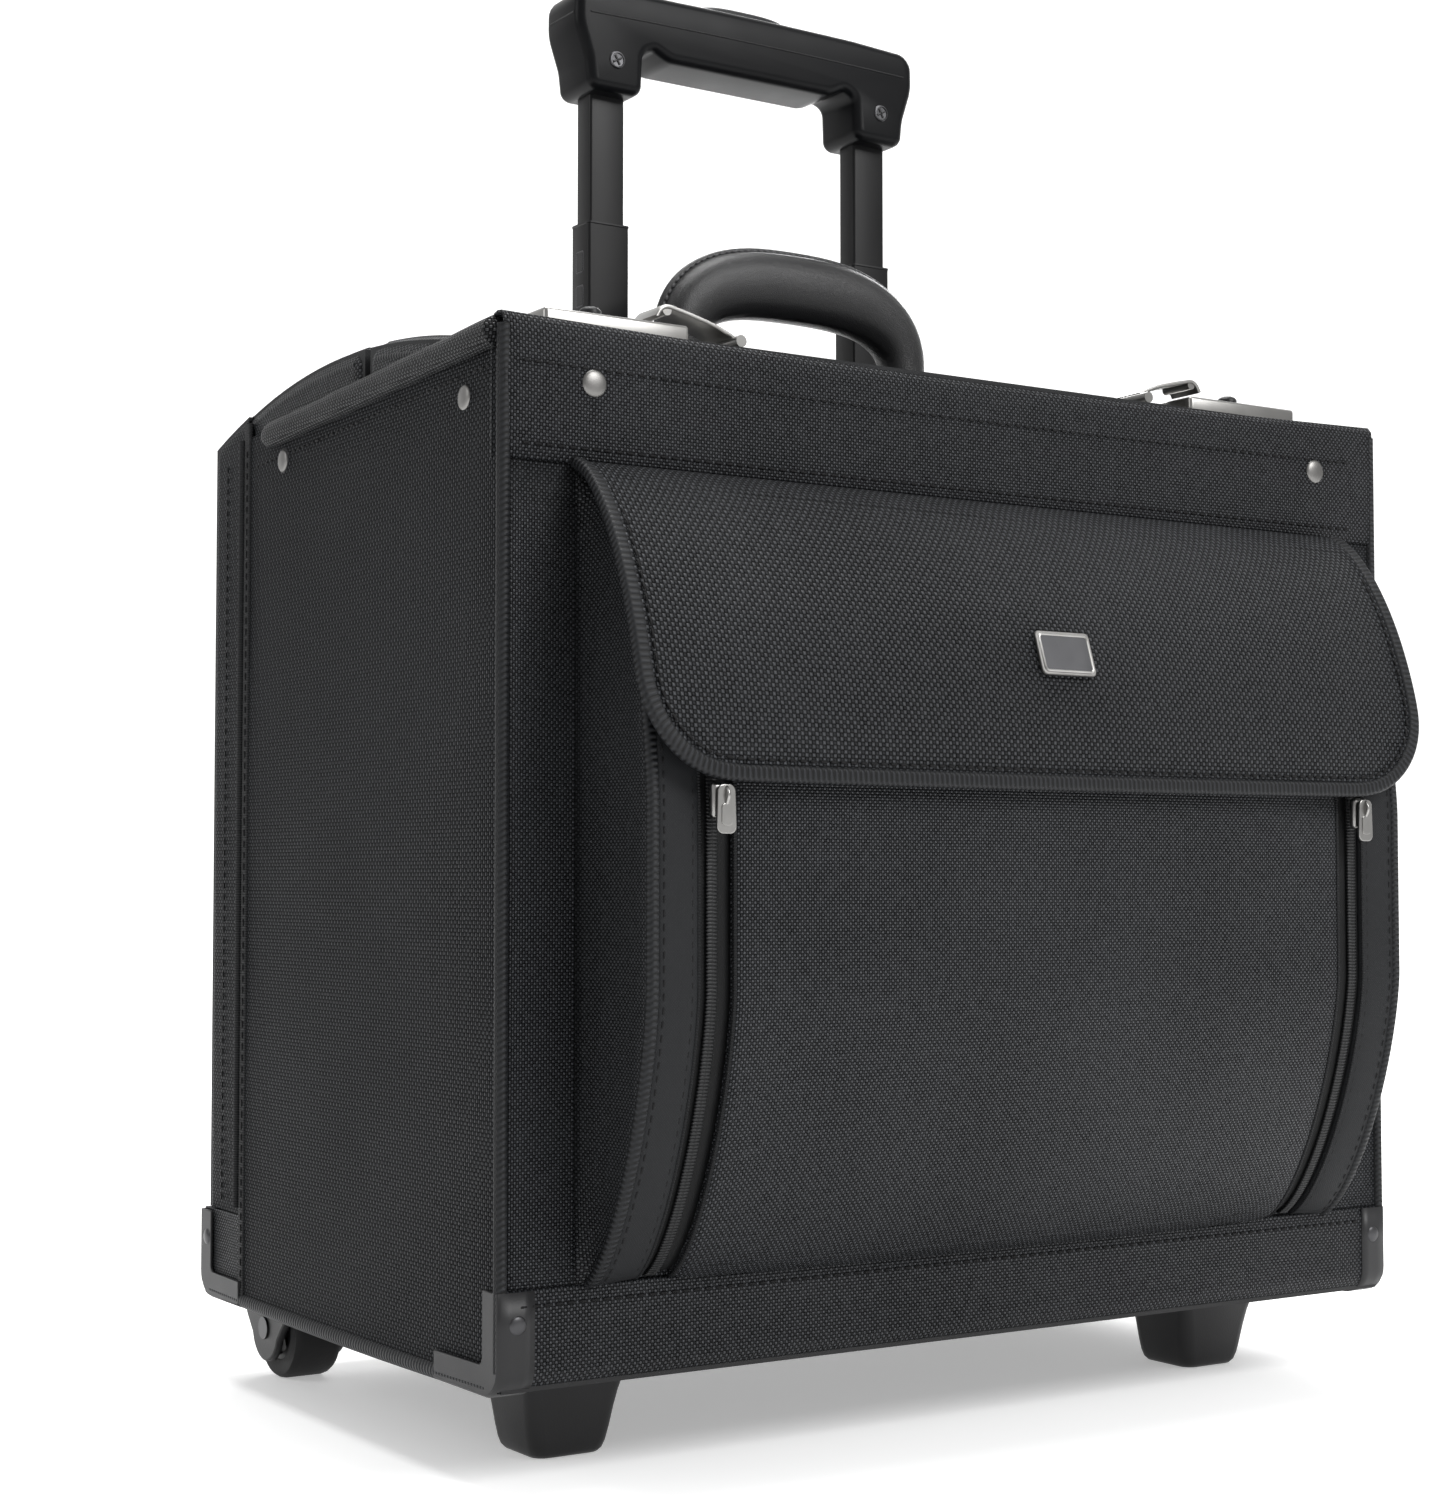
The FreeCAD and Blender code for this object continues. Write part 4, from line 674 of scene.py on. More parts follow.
def build_top():
    """The skins of lid, deck and door, with their welts, thread and the well's bezel."""
    half = HALF - 2.2
    tunnel("lid_skin", half, LID[0] + 0.6, LID[1] - 0.6, SIDE_TOP + 0.8, 8.0, BAND_WEAVE, "lid",
           "ballistic_weave", replaces=("lid_cover",))
    hole = (WELL[0].x + 1, WELL[1].x - 1, WELL[0].y - FRONT + 1, WELL[1].y - FRONT - 1)
    tunnel("deck_skin", half, DECK[0] + 0.6, DECK[1], SIDE_TOP, 8.0, BAND_WEAVE, "case",
           "ballistic_weave", closed=(True, False), hole=hole, replaces=("deck_cover",))
    door = corners("rear_door_cover")
    tunnel("door_skin", HALF - 0.6, door[0].y - FRONT, door[1].y - FRONT - 0.6,
           door[0].z - BASE + 0.2, 8.0, SHADED_SIDE_WEAVE, "door", "ballistic_weave",
           closed=(False, True), replaces=("rear_door_cover",))
    for side, s in SIDES:
        for n, (inwards, drop) in enumerate(((6.6, 0.9), (0.9, 7.4))):
            for part, body, y0, y1 in (("lid", "lid", LID[0] + 9, LID[1] - 9),
                                       ("deck", "case", DECK[0] + 9, DECK[1] - 1)):
                path = [at(s * (half - inwards), y, crown(y) - drop) for y in spread(y0, y1, 40)]
                sweep(f"{part}_welt_{n}_{side}", path, circle(1.8), Z, EDGE, body,
                      "ballistic_weave")
        line = door[0].y - FRONT + 2.4
        foot, head = door[0].z - BASE, crown(line)
        path = [at(s * (HALF + 0.2), line, z) for z in spread(foot + 3, head - 12, 40)]
        sweep(f"door_welt_{side}", path, circle(1.8), Y, BINDING, "door", "side_weave")
        path = [at(s * (HALF + 0.1), line + 18, z) for z in spread(foot + 6, head - 14, 40)]
        stitches(f"door_stitches_{side}", path, X * s, "door", "side_weave", radius=0.36)
    for name, y, gap, body in (("lid_stitches_front", LID[0] + 12, 28, "lid"),
                               ("lid_stitches_back", LID[1] - 10, 28, "lid"),
                               ("deck_stitches", DECK[0] + 9, 20, "case")):
        path = [at(x, y, crown(y)) for x in spread(-half + gap, half - gap, 60)]
        stitches(name, path, Z, body, "ballistic_weave")
    frame_y = (WELL[0].y - FRONT, WELL[1].y - FRONT)
    path = [at(x, y, crown(y) + 0.6) for x, y in rounded_loop(WELL[1].x, *frame_y)]
    sweep("well_bezel", path + path[:1], rounded(5.0, 1.8, 0.8), Z, BLACK, "case",
          "moulded_black")


def rounded_loop(half, y0, y1):
    """Points round a rounded rectangle on the deck."""
    centre = (y0 + y1) / 2
    return [(u, centre + v) for u, v in rounded(half * 2, y1 - y0, 5.0, 5)]


def build_rivets():
    """Round heads, two in front and two on each side, each over a wider black dome whose rim is a ring of
    painted shadow.
    """
    front_inset, front_drop, side_drop = 38, 24, 28
    side_places = (31, BACK - 82.5)
    for side, s in SIDES:
        x, z = s * (HALF - front_inset), TOP - front_drop
        # A black dome a little wider than the head: its rim is a painted shadow ring round the rivet.
        dome(f"front_shadow_ring_{side}", at(x, -1.0, z), -Y, 6.3, 0.8, BLACK, "case", "nickel")
        dome(f"front_rivet_{side}", at(x, -1.4, z), -Y, 5.3, 1.5, SATIN, "case", "nickel",
             replaces=("rim_rivets",) if s < 0 else ())
        z = TOP - side_drop
        for n, y in enumerate(side_places):
            # A black dome a little wider than the head: its rim is a painted shadow ring round the rivet.
            dome(f"side_shadow_ring_{n}_{side}", at(s * (HALF - 0.3), y, z), X * s, 5.9, 0.9,
                 BLACK, "case", "nickel")
            dome(f"side_rivet_{n}_{side}", at(s * (HALF + 0.1), y, z), X * s, 4.9, 1.4,
                 SATIN, "case", "nickel")


def plate(name, outline, axis, thick, *look, replaces=(), bevel=0.35):
    """A flat plate from an outline of points, thickened along an axis, with softened edges."""
    edit = bmesh.new()
    lower = [edit.verts.new(p) for p in outline]
    face = edit.faces.new(lower)
    raised = bmesh.ops.extrude_face_region(edit, geom=[face])
    moved = [g for g in raised["geom"] if isinstance(g, bmesh.types.BMVert)]
    bmesh.ops.translate(edit, verts=moved, vec=axis * thick)
    if bevel:
        bmesh.ops.bevel(edit, geom=edit.edges[:], offset=bevel, segments=2, profile=0.5, affect="EDGES")
    return from_bmesh(name, edit, *look, replaces=replaces, smooth=20)


def build_guards():
    """Corner guards: a strap wrapped round the edge and a flat side, riveted."""
    for side, s in SIDES:
        for place in ("front", "back"):
            front = place == "front"
            start, sign = (0.0, 1) if front else (BACK, -1)
            leg = 50.0 if front else 43.0
            tall, proud, radius = 37.0, 1.5, 11.0
            bend = arc((radius - proud, radius - proud), radius, 180, 270, 8)
            profile = [(-proud, tall), (-proud, 24), *bend, (leg, -proud)]
            rows = []
            for x in (HALF - 13.5, HALF - 9, HALF - 4, HALF, HALF + 0.9, HALF + 1.4):
                pull = max(0.0, x - HALF) * 0.7
                rows.append([at(s * x, start + sign * (y + pull * (1 if y < 5 else 0)),
                                z + (pull if z < 5 else 0)) for y, z in profile])
            name = f"corner_guard_{place}_{side}"
            sheet(f"{name}_wrap", rows, 1.0, GUARD, "case", "guard_metal", replaces=(name,))
            side_y = 10.6
            outline = [(-proud + 0.6, tall), (-proud + 0.6, 20)]
            outline += [(y + 0.4, z + 0.4) for y, z in bend]
            outline += [(leg, -proud + 0.6), (leg, 9.4), (side_y + 3, 9.6)]
            outline += arc((side_y + 3, 12.6), 3.0, 270, 180, 4)
            outline += [(side_y, tall)]
            points = [at(s * (HALF + 0.5), start + sign * y, z) for y, z in outline]
            plate(f"{name}_side", points, X * s, 1.2, GUARD, "case", "guard_metal")
            if front:
                centre, normal = at(s * (HALF - 6.5), -1.7, 25), -Y
            else:
                centre, normal = at(s * (HALF + 1.4), BACK - 6, 25), X * s
            dome(f"guard_rivet_{place}_{side}", centre, normal, 3.6, 1.2, DARK_STEEL, "case", "nickel",
                 replaces=("guard_rivets",) if front and s < 0 else ())


# --- feet and wheels -----------------------------------------------------------------------------

def build_feet():
    """Front feet that flare to a wide flange under the case."""
    for side, _ in SIDES:
        low, high = corners(f"foot_{side}")
        centre = (low + high) / 2
        rings = []
        for drop, wide, deep, radius in ((-0.5, 56, 48, 4), (1.0, 53, 46, 4), (3.5, 48.5, 43, 4.5),
                                         (7.5, 45.0, 40.5, 5), (13, 42.2, 38.6, 5.5), (20, 39.6, 37, 6),
                                         (28, 36.8, 35.4, 6), (33, 34.6, 34.2, 6), (36, 32.4, 32.8, 6),
                                         (37.5, 29.6, 30.2, 5.5), (38.0, 25.6, 26.4, 5)):
            rings.append(flat_ring(centre.x, centre.y + drop * 0.05, high.z - drop,
                                   rounded(wide, deep, radius)))
        loft(f"front_foot_{side}", rings, BLACK, "case", "moulded_black", replaces=(f"foot_{side}",))


def build_housing(side, s, centre, replaces):
    """Two cheeks that hang beside the wheel, each with a boss over the axle's end."""
    drop = centre.z - corners("wheel_housings")[0].z
    near, far = 13.5, 17.2
    flange, waist = 25, 21.5
    for n, (inner, outer) in enumerate(((near, far), (-far, -near))):
        outline = [(-flange, BASE + 1.5), (-flange, BASE - 2), (-waist, centre.z + 4)]
        outline += [(drop * math.cos(a), centre.z + drop * math.sin(a))
                    for a in spread(math.radians(195), math.radians(345), 15)]
        outline += [(waist, centre.z + 4), (flange, BASE - 2), (flange, BASE + 1.5)]
        points = [Vector((centre.x + s * inner, centre.y + y, z)) for y, z in outline]
        plate(f"wheel_cheek_{n}_{side}", points, X * s, outer - inner, BLACK, "case",
              "moulded_black", replaces=replaces if n == 0 else (), bevel=1.2)
        outwards = s if n == 0 else -s
        boss = [centre + X * (outwards * (far + step)) for step in (-0.9, 0, 0.9)]
        sweep(f"axle_boss_{n}_{side}", boss, circle(5.0, 20), Z, DARK_STEEL, "case", "moulded_black")


def build_wheels():
    """Tyres and spoked hubs, each between its two cheeks."""
    for side, s in SIDES:
        low, high = corners(f"wheel_tyre_{side}")
        centre = (low + high) / 2
        half = (high.x - low.x) / 2
        radius = (high.z - low.z) / 2
        tread = [(radius - 1.4, -half), (radius - 0.4, -half + 1.4), (radius, -half + 3.4),
                 (radius, half - 3.4), (radius - 0.4, half - 1.4), (radius - 1.4, half),
                 (15.2, half), (14.6, half - 0.6), (14.6, 0.6 - half), (15.2, -half)]
        lathe(f"tyre_{side}", tread, centre, RUBBER, f"wheel_{side}", "tyre_rubber",
              replaces=(f"wheel_tyre_{side}",))
        build_housing(side, s, centre, ("wheel_housings", "axle_pins") if s < 0 else ())
        rim = [(14.6, 0.8 - half), (14.6, half - 0.8), (12.4, half - 0.4), (11.8, half - 2.6),
               (6.2, half - 3.2), (5.6, half - 0.6), (3.05, half - 0.4), (3.05, 0.4 - half),
               (5.6, 0.6 - half), (6.2, 3.2 - half), (11.8, 2.6 - half), (12.4, 0.4 - half)]
        lathe(f"hub_{side}", rim, centre, BLACK, f"wheel_{side}", "moulded_black",
              replaces=(f"wheel_hub_{side}",))
        for n in range(6):
            angle = math.pi / 3 * n
            spoke = Vector((0, math.cos(angle), math.sin(angle)))
            path = [centre + spoke * r for r in (5.4, 8.5, 12.2)]
            sweep(f"hub_spoke_{n}_{side}", path, rounded(half * 2 - 4.4, 2.2, 0.8),
                  Vector((0, -spoke.z, spoke.y)), BLACK, f"wheel_{side}", "moulded_black")


# --- pocket and flap -----------------------------------------------------------------------------

HEAD_POWER = 1.6
FOOT_POWER = 1.5
POCKET = corners("front_pocket")
HEAD = POCKET[1].z - BASE
SHOULDER = HEAD - 123.0
WAIST = POCKET[0].z - BASE + 110.0
MOUTH = SEAM - 44.0


def bulge(power, t):
    """How far a superellipse is out and along at t, from its widest place (0) to its end (1)."""
    angle = math.pi / 2 * t
    return max(math.cos(angle), 0.0) ** (2 / power), max(math.sin(angle), 0.0) ** (2 / power)


def pocket_curve(top=None):
    """Depth, height and outward normal down the pocket's front, from its head or a given height."""
    reach = FRONT - POCKET[0].y - 0.9
    count = 26
    lean = []
    for t in spread(0.97, 0.0, count):
        out, along = bulge(HEAD_POWER, t)
        lean.append((-reach * out, SHOULDER + (HEAD - SHOULDER) * along))
    lean += [(-reach, z) for z in spread(SHOULDER, WAIST, 12)[1:-1]]
    for t in spread(0.0, 0.985, count):
        out, along = bulge(FOOT_POWER, t)
        lean.append((-reach * out, WAIST - (WAIST - POCKET[0].z + BASE) * along))
    result = []
    for i, (y, z) in enumerate(lean):
        ahead, behind = lean[min(i + 1, len(lean) - 1)], lean[max(i - 1, 0)]
        tangent = Vector((0, ahead[0] - behind[0], ahead[1] - behind[1])).normalized()
        result.append((y, z, Vector((0, tangent.z, -tangent.y))))
    return [spot for spot in result if top is None or spot[1] <= top]


def strip(name, curve, section, thick, *look, side=0, replaces=()):
    """A sheet down the pocket: section is (x, stand-off) pairs across it."""
    rows = []
    uvs = []
    run = 0.0
    for i, (y, z, normal) in enumerate(curve):
        if i:
            run += math.hypot(y - curve[i - 1][0], z - curve[i - 1][1]) * MM
        for x, off in section:
            uvs.append((run, x * MM))
        rows.append([at((side or 1) * x, y, z) + normal * off for x, off in section])
    return sheet(name, rows, thick, *look, replaces=replaces, uvs=uvs)


def build_pocket():
    """The bulging pocket between its two zips, with bands, piping and gussets."""
    whole = pocket_curve()
    curve = pocket_curve(MOUTH)
    half, swell = 156, 1.6
    lip = [(half - 1.6, -0.4), (half - 0.4, -1.6), (half, -3.6)]
    face = [(-x, off) for x, off in reversed(lip)]
    face += [(x, swell * (1 - (x / half) ** 4)) for x in spread(4 - half, half - 4, 40)]
    face += lip
    coil_x, coil_pitch, slider_x = 165.4, 1.35, 164.9
    gusset_x, gusset_foot, gusset_dip = 192.4, 197.5, 2.2
    strip("pocket_face", curve, face, 1.2, WEAVE, "case", "ballistic_weave",
          replaces=("front_pocket",))
    normals = [normal for _, _, normal in whole]
    for side, s in SIDES:
        strip(f"zip_tape_{side}", curve, [(155, -3.2), (160, -2.9), (170, -2.9), (176, -2.4)], 0.7,
              ZIP_CLOTH, "case", "zip_tape", side=s, replaces=("zip_tapes",) if s < 0 else ())
        strip(f"pocket_band_{side}", whole,
              [(170.5, -2.8), (171, -1.4), (172, -0.9), (180, -0.3), (187, 0.3), (190, 0.0)], 0.9,
              NYLON_BAND, "case", "ballistic_weave", side=s)
        for name, run, x, off, radius in (("panel", curve, 155.9, -0.5, 0.9),
                                          ("band", whole, 171.4, -0.8, 0.75)):
            path = [at(s * x, y, z) + normal * off for y, z, normal in run]
            ups = [normal for _, _, normal in run]
            sweep(f"{name}_piping_{side}", path, circle(radius, 8), lambda i, ups=ups: ups[i], BINDING,
                  "case", "ballistic_weave")
        edge = [at(s * 191.0, y, z) - normal * 0.8 for y, z, normal in whole]
        sweep(f"pocket_edge_{side}", edge, rounded(5.0, 4.4, 2.1), lambda i: normals[i], EDGE,
              "case", "ballistic_weave")
        for n, x in enumerate((187.0, 174.2)):
            path = [at(s * x, y, z) + normal * (0.4 - n * 1.2) for y, z, normal in whole]
            run_stitches(f"pocket_stitches_{n}_{side}", path, normals)
        coil = [at(s * coil_x, y, z) + normal * -1.4 for y, z, normal in curve]
        spots = resample(coil, coil_pitch)
        places = []
        for a, b in zip(spots, spots[1:]):
            normal = (b - a).normalized().cross(X).normalized()
            places.append((a, X, normal if normal.y < 0 else -normal))
        ticks(f"zip_coil_{side}", places, 5.6, 0.62, COIL, "case", "zip_tape")
        cord = [(coil_x + x, off) for x, off in ((-2.2, -2.4), (-1.5, -1.5), (0, -1.2), (1.5, -1.5),
                                                 (2.2, -2.4))]
        strip(f"zip_cord_{side}", curve, cord, 0.5, ZIP_CLOTH, "case", "zip_tape", side=s)
        rows = []
        for y, z, normal in whole:
            outer = at(s * gusset_x, y, z) - normal
            inner = at(s * gusset_foot, 0.4, z)
            rows.append([outer.lerp(inner, t) - X * (s * gusset_dip * math.sin(math.pi * t))
                         for t in spread(0, 1, 10)])
        sheet(f"pocket_gusset_{side}", rows, 1.0, GUSSET, "case", "ballistic_weave")
        build_slider(side, s * slider_x)


def run_stitches(name, path, normals):
    """Thread down a curved strip, with the surface's own normal at each stitch."""
    places = []
    for a, along, normal in follow(path, 5.0, normals):
        places.append((a + normal * 0.15, along, normal))
    return ticks(name, places, 3.4, 0.58, THREAD, "case", "ballistic_weave")


def follow(path, pitch, directions):
    """Spots at a pitch along a path, each with its heading and the nearest point's direction."""
    result = []
    spots = resample(path, pitch)
    for a, b in zip(spots, spots[1:]):
        nearest = min(range(len(path)), key=lambda i: (path[i] - a).length)
        result.append((a, (b - a).normalized(), directions[nearest]))
    return result


def build_slider(side, x):
    """A zip slider with its bail, and the pull that hangs from it."""
    low, high = corners(f"zip_slider_{side}")
    face = high.y
    half, deep = 4.4, 3.6
    look = (NICKEL, f"slider_{side}", "nickel")
    block(f"zip_slider_body_{side}", Vector((x - half, face - deep, low.z)),
          Vector((x + half, face, high.z)), 1.4, *look, replaces=(f"zip_slider_{side}",))
    path = [Vector((x, face - out, high.z - down))
            for out, down in ((3.2, 1), (5.4, 2.2), (6.6, 4.6), (5.2, 7.4), (3.2, 8.8))]
    sweep(f"zip_slider_bail_{side}", smooth_path(path, 5), rounded(2.6, 1.2, 0.5), X, *look)
    low, high = corners(f"zip_pull_{side}")
    middle = (low.y + high.y) / 2
    level = (low.z + high.z) / 2
    narrower_top = 0.9
    shape = [(u * narrower_top if v > 0 else u, v) for u, v in rounded(8.4, high.z - low.z, 2.6, 5)]
    outline = upright_ring(x, middle - 0.6, level, shape)
    look = (NICKEL, f"pull_{side}", "nickel")
    plate(f"zip_pull_plate_{side}", outline, Y, 1.2, *look, replaces=(f"zip_pull_{side}",), bevel=0.3)
    recess = upright_ring(x, middle - 0.95, level - 2, rounded(4.6, 8.0, 1.4))
    plate(f"zip_pull_pad_{side}", recess, Y, 0.5, *look, bevel=0.15)


def flap_curve():
    """Depth and height down the flap, from the seam over its bulge to the lower edge."""
    low, high = corners("pocket_flap")
    hem = low.z - BASE + 12.0
    reach = high.y - low.y - 1.4
    stand = FRONT - high.y
    points = []
    for t in spread(0.985, 0.0, 34):
        out, along = bulge(HEAD_POWER, t)
        points.append(Vector((0, -stand - reach * out, hem + (SEAM - 0.8 - hem) * along)))
    return points + [Vector((0, -stand - reach, z)) for z in spread(hem, hem - 8.6, 4)[1:]]


def build_flap():
    """The flap over the pocket's head, bound and stitched round its free edge."""
    half = corners("pocket_flap")[1].x - 3.3
    radius = 36.0
    curve = flap_curve()
    total = sum((b - a).length for a, b in zip(curve, curve[1:]))
    heights = [total]
    for a, b in zip(curve, curve[1:]):
        heights.append(heights[-1] - (b - a).length)
    rows, fine = [], []
    for i, p in enumerate(curve):
        fine.append((p, heights[i]))
        if i + 1 < len(curve) and heights[i] < radius:
            fine.append(((p + curve[i + 1]) / 2, (heights[i] + heights[i + 1]) / 2))
    for p, left in fine:
        cut = radius - math.sqrt(max(0.0, radius**2 - (radius - left) ** 2)) if left < radius else 0.0
        reach = half - cut
        row = []
        for t in spread(-1, 1, 61):
            x = reach * math.sin(math.pi / 2 * t) * 0.35 + reach * t * 0.65
            wave = 0.5 * math.sin(x / 46) * min(1.0, (total - left) / 60)
            sag = -1.0 * (1 - (x / half) ** 2) * max(0.0, 1 - left / 60)
            row.append(at(x, p.y + wave, p.z + sag))
        rows.append(row)
    sheet("flap_skin", rows, 2.2, FLAP_WEAVE, "flap", "flap_weave", replaces=("pocket_flap",))
    border = [row[0] for row in rows] + rows[-1][1:-1] + [row[-1] for row in reversed(rows)]
    border = soften_path(resample(border, 4.0), 2)
    outward = [border_out(border, i) for i in range(len(border))]
    sweep("flap_binding", border, rounded(4.4, 6.6, 1.9), lambda i: outward[i], EDGE, "flap",
          "flap_weave")
    inset = [p - out * 5.0 for p, out in zip(border, outward)]
    places = []
    for a, tangent, out in follow(inset, 4.6, outward):
        normal = tangent.cross(out).normalized()
        normal = normal if normal.y < 0.1 else -normal
        places.append((a + normal * 1.35, tangent, normal))
    ticks("flap_stitches", places, 3.5, 0.6, THREAD, "flap", "flap_weave")
    build_badge()


def build_badge():
    """A plain plate with a raised rim round a darker field, leaning with the flap."""
    low, high = corners("flap_badge")
    x, y, z = (low + high) / 2
    wide, tall = high.x - low.x, high.z - low.z
    border = 3.2
    lean = (high.y - low.y - 1.4) / tall
    inwards = Vector((0, 1, -lean)).normalized()
    outline = upright_ring(x, y - 0.9, z, rounded(wide, tall, 2.2), lean)
    plate("badge_plate", outline, inwards, 1.4, SATIN, "flap", "nickel",
          replaces=("flap_badge",), bevel=0.4)
    rim = upright_ring(x, y - 1.0, z, rounded(wide - border, tall - border, 1.6), lean)
    sweep("badge_rim", rim + rim[:1], circle(0.55, 8), Y, NICKEL, "flap", "nickel")
    plate("badge_field", [p - Y * 0.1 for p in rim], inwards, 0.3, DARK_STEEL, "flap", "nickel",
          bevel=0.05)


def soften_path(path, times):
    for _ in range(times):
        path = [path[0]] + [(a + b * 2 + c) / 4 for a, b, c in zip(path, path[1:], path[2:])] + [path[-1]]
    return path


def border_out(path, i):
    """Direction in the flap's own surface that points off its edge."""
    tangent = (path[min(i + 1, len(path) - 1)] - path[max(i - 1, 0)]).normalized()
    t = i / (len(path) - 1)
    inwards = at(0, path[i].y - FRONT, SEAM - 40) - path[i]
    if 0.2 < t < 0.8:
        inwards = Vector((-path[i].x * 0.35, 0, 60))
    inwards.y = 0 if abs(tangent.z) < 0.5 else inwards.y
    flat = inwards - tangent * inwards.dot(tangent)
    return -flat.normalized()


# --- carry handle --------------------------------------------------------------------------------

def build_carry_handle():
    """A padded arch, thickest in the middle, with a stitched ridge along its crest."""
    low, high = corners("carry_handle")
    centre_y = (low.y + high.y) / 2
    leg_x = 63.2
    foot = low.z + 0.4
    shoulder = low.z + 14.0
    peak = high.z - 16.8
    thin, swell_wide, swell_deep = 19.0, 12.8, 4.2
    path = [Vector((-leg_x, centre_y, z)) for z in spread(foot, shoulder, 6)]
    for k in range(1, 48):
        angle = math.pi * k / 48
        x = -leg_x * math.copysign(abs(math.cos(angle)) ** 0.72, math.cos(angle))
        path.append(Vector((x, centre_y, shoulder + (peak - shoulder) * math.sin(angle) ** 0.82)))
    path += [Vector((leg_x, centre_y, z)) for z in spread(shoulder, foot, 6)]
    path = soften_path(path, 2)
    count = len(path)
    rings = []
    facing = frames(path, Y)
    for i, (point, (side, lift)) in enumerate(zip(path, facing)):
        t = i / (count - 1)
        middle = math.sin(math.pi * t) ** 1.3
        wide = thin + swell_wide * middle
        deep = thin + swell_deep * middle
        ends = min(1.0, 0.62 + min(t, 1 - t) * 14)
        ring = []
        for k in range(24):
            angle = 2 * math.pi * k / 24
            c, q = math.cos(angle), math.sin(angle)
            u = math.copysign(abs(c) ** 0.85, c) * wide / 2 * ends
            v = math.copysign(abs(q) ** 0.85, q) * deep / 2 * ends
            ring.append(point + side * u + lift * v)
        rings.append(ring)
    pad = loft("carry_handle_pad", rings, LEATHER, "handle", "handle_leather",
               replaces=("carry_handle",))
    crest = []
    for i in range(5, count - 5):
        point, (side, lift) = path[i], facing[i]
        t = i / (count - 1)
        wide = thin + swell_wide * math.sin(math.pi * t) ** 1.3
        outward = side if side.z > 0 or abs(side.x) > 0.7 and side.x * point.x > 0 else -side
        crest.append(point + outward * (wide / 2 + 0.2))
    sweep("carry_handle_welt", crest, rounded(3.0, 4.2, 1.2), Y, LEATHER, "handle",
          "handle_leather")
    for n, y in enumerate((-2.3, 2.3)):
        line = [p + Vector((0, y, -0.2)) for p in crest]
        stitches(f"carry_handle_stitches_{n}", line, Y * math.copysign(1, y), "handle",
                 "handle_leather", pitch=3.6, length=2.6, radius=0.62, lift=0.35,
                 material=PALE_THREAD)


# --- locks ---------------------------------------------------------------------------------------

def build_locks():
    """A box on a base plate, a lever on a barrel with a curled tip, and a round knob."""
    box_length, box_deep, sunk = 65.5, 13, 1.2
    plate_low, plate_high, plate_lip = 15, 8.4, 1.2
    barrel_half, barrel_radius, barrel_drop = 14.5, 2.5, 4.4
    curl_out, curl_rise, curl_radius = 31.5, 5.4, 2.1
    knob_radius, knob_rise = 4.5, 2.6
    for side, s in SIDES:
        low, high = corners(f"lock_case_{side}")
        inner, outer = (high.x, low.x) if s < 0 else (low.x, high.x)
        box = sorted((outer - s * box_length, outer))
        level = CROWN + BASE
        front, back = low.y, high.y
        block(f"lock_box_{side}", Vector((box[0], front, level - box_deep)),
              Vector((box[1], back, level - sunk)), 1.6, NICKEL, "lid", "nickel",
              replaces=(f"lock_case_{side}",))
        ends = sorted((inner, outer))
        block(f"lock_plate_{side}", Vector((ends[0], front - plate_lip, level - plate_low)),
              Vector((ends[1], back + 1.0, level - plate_high)), 1.2, NICKEL, "lid", "nickel")
        lever = corners(f"lock_lever_{side}")
        root = (lever[1].x if s < 0 else lever[0].x) + s * 3.2
        wide = lever[1].y - lever[0].y
        middle = (front + back) / 2
        pivot = Vector((root, middle, level - barrel_drop))
        path = [pivot + Y * y for y in spread(-barrel_half, barrel_half, 5)]
        sweep(f"lever_barrel_{side}", path, circle(barrel_radius, 14), Z, NICKEL, "lid", "nickel")
        profile = [(0, -2.2), (2.5, -0.9), (10, 2.0), (20, 4.6), (27, 6.2), (31.4, 6.9), (34.4, 5.4),
                   (36.4, 2.4)]
        path = smooth_path([Vector((root + s * x, middle, level + z)) for x, z in profile], 5)
        sweep(f"lock_lever_plate_{side}", path, rounded(wide - 0.6, 1.7, 0.7), Z, NICKEL,
              f"lever_{side}", "nickel", replaces=(f"lock_lever_{side}",))
        tip = Vector((root + s * curl_out, middle, level + curl_rise))
        path = [tip + Y * y for y in spread(1 - wide / 2, wide / 2 - 1, 5)]
        sweep(f"lock_lever_curl_{side}", path, circle(curl_radius, 14), Z, NICKEL,
              f"lever_{side}", "nickel")
        low, high = corners(f"lock_knob_{side}")
        centre = Vector(((low.x + high.x) / 2, (low.y + high.y) / 2, high.z - knob_rise))
        dome(f"knob_cap_{side}", centre, Z, knob_radius, knob_rise, BLACK, f"knob_{side}",
             "moulded_black", replaces=(f"lock_knob_{side}",))


# --- trolley -------------------------------------------------------------------------------------

def tube_rings(x, wide, deep, low, high, radius):
    """Rings of a rectangular tube from low to high."""
    return [flat_ring(x, FRONT + TROLLEY, z, rounded(wide, deep, radius))
            for z in (low, low + 0.6, high - 0.6, high)]


def build_tube(name, side, x, size, walls, inner_radius, body):
    """One hollow tube; walls is both wall thicknesses together."""
    low, high = corners(f"{name}_tubes")
    wide, deep, radius = size
    outer = tube_rings(x, wide, deep, low.z, high.z, radius)
    inner = tube_rings(x, wide - walls, deep - walls, low.z, high.z, inner_radius)
    loft(f"{name}_tube_{side}", outer + inner[::-1], TUBE, body, "tube_finish", closed=True,
         replaces=(f"{name}_tubes",) if side == "left" else ())


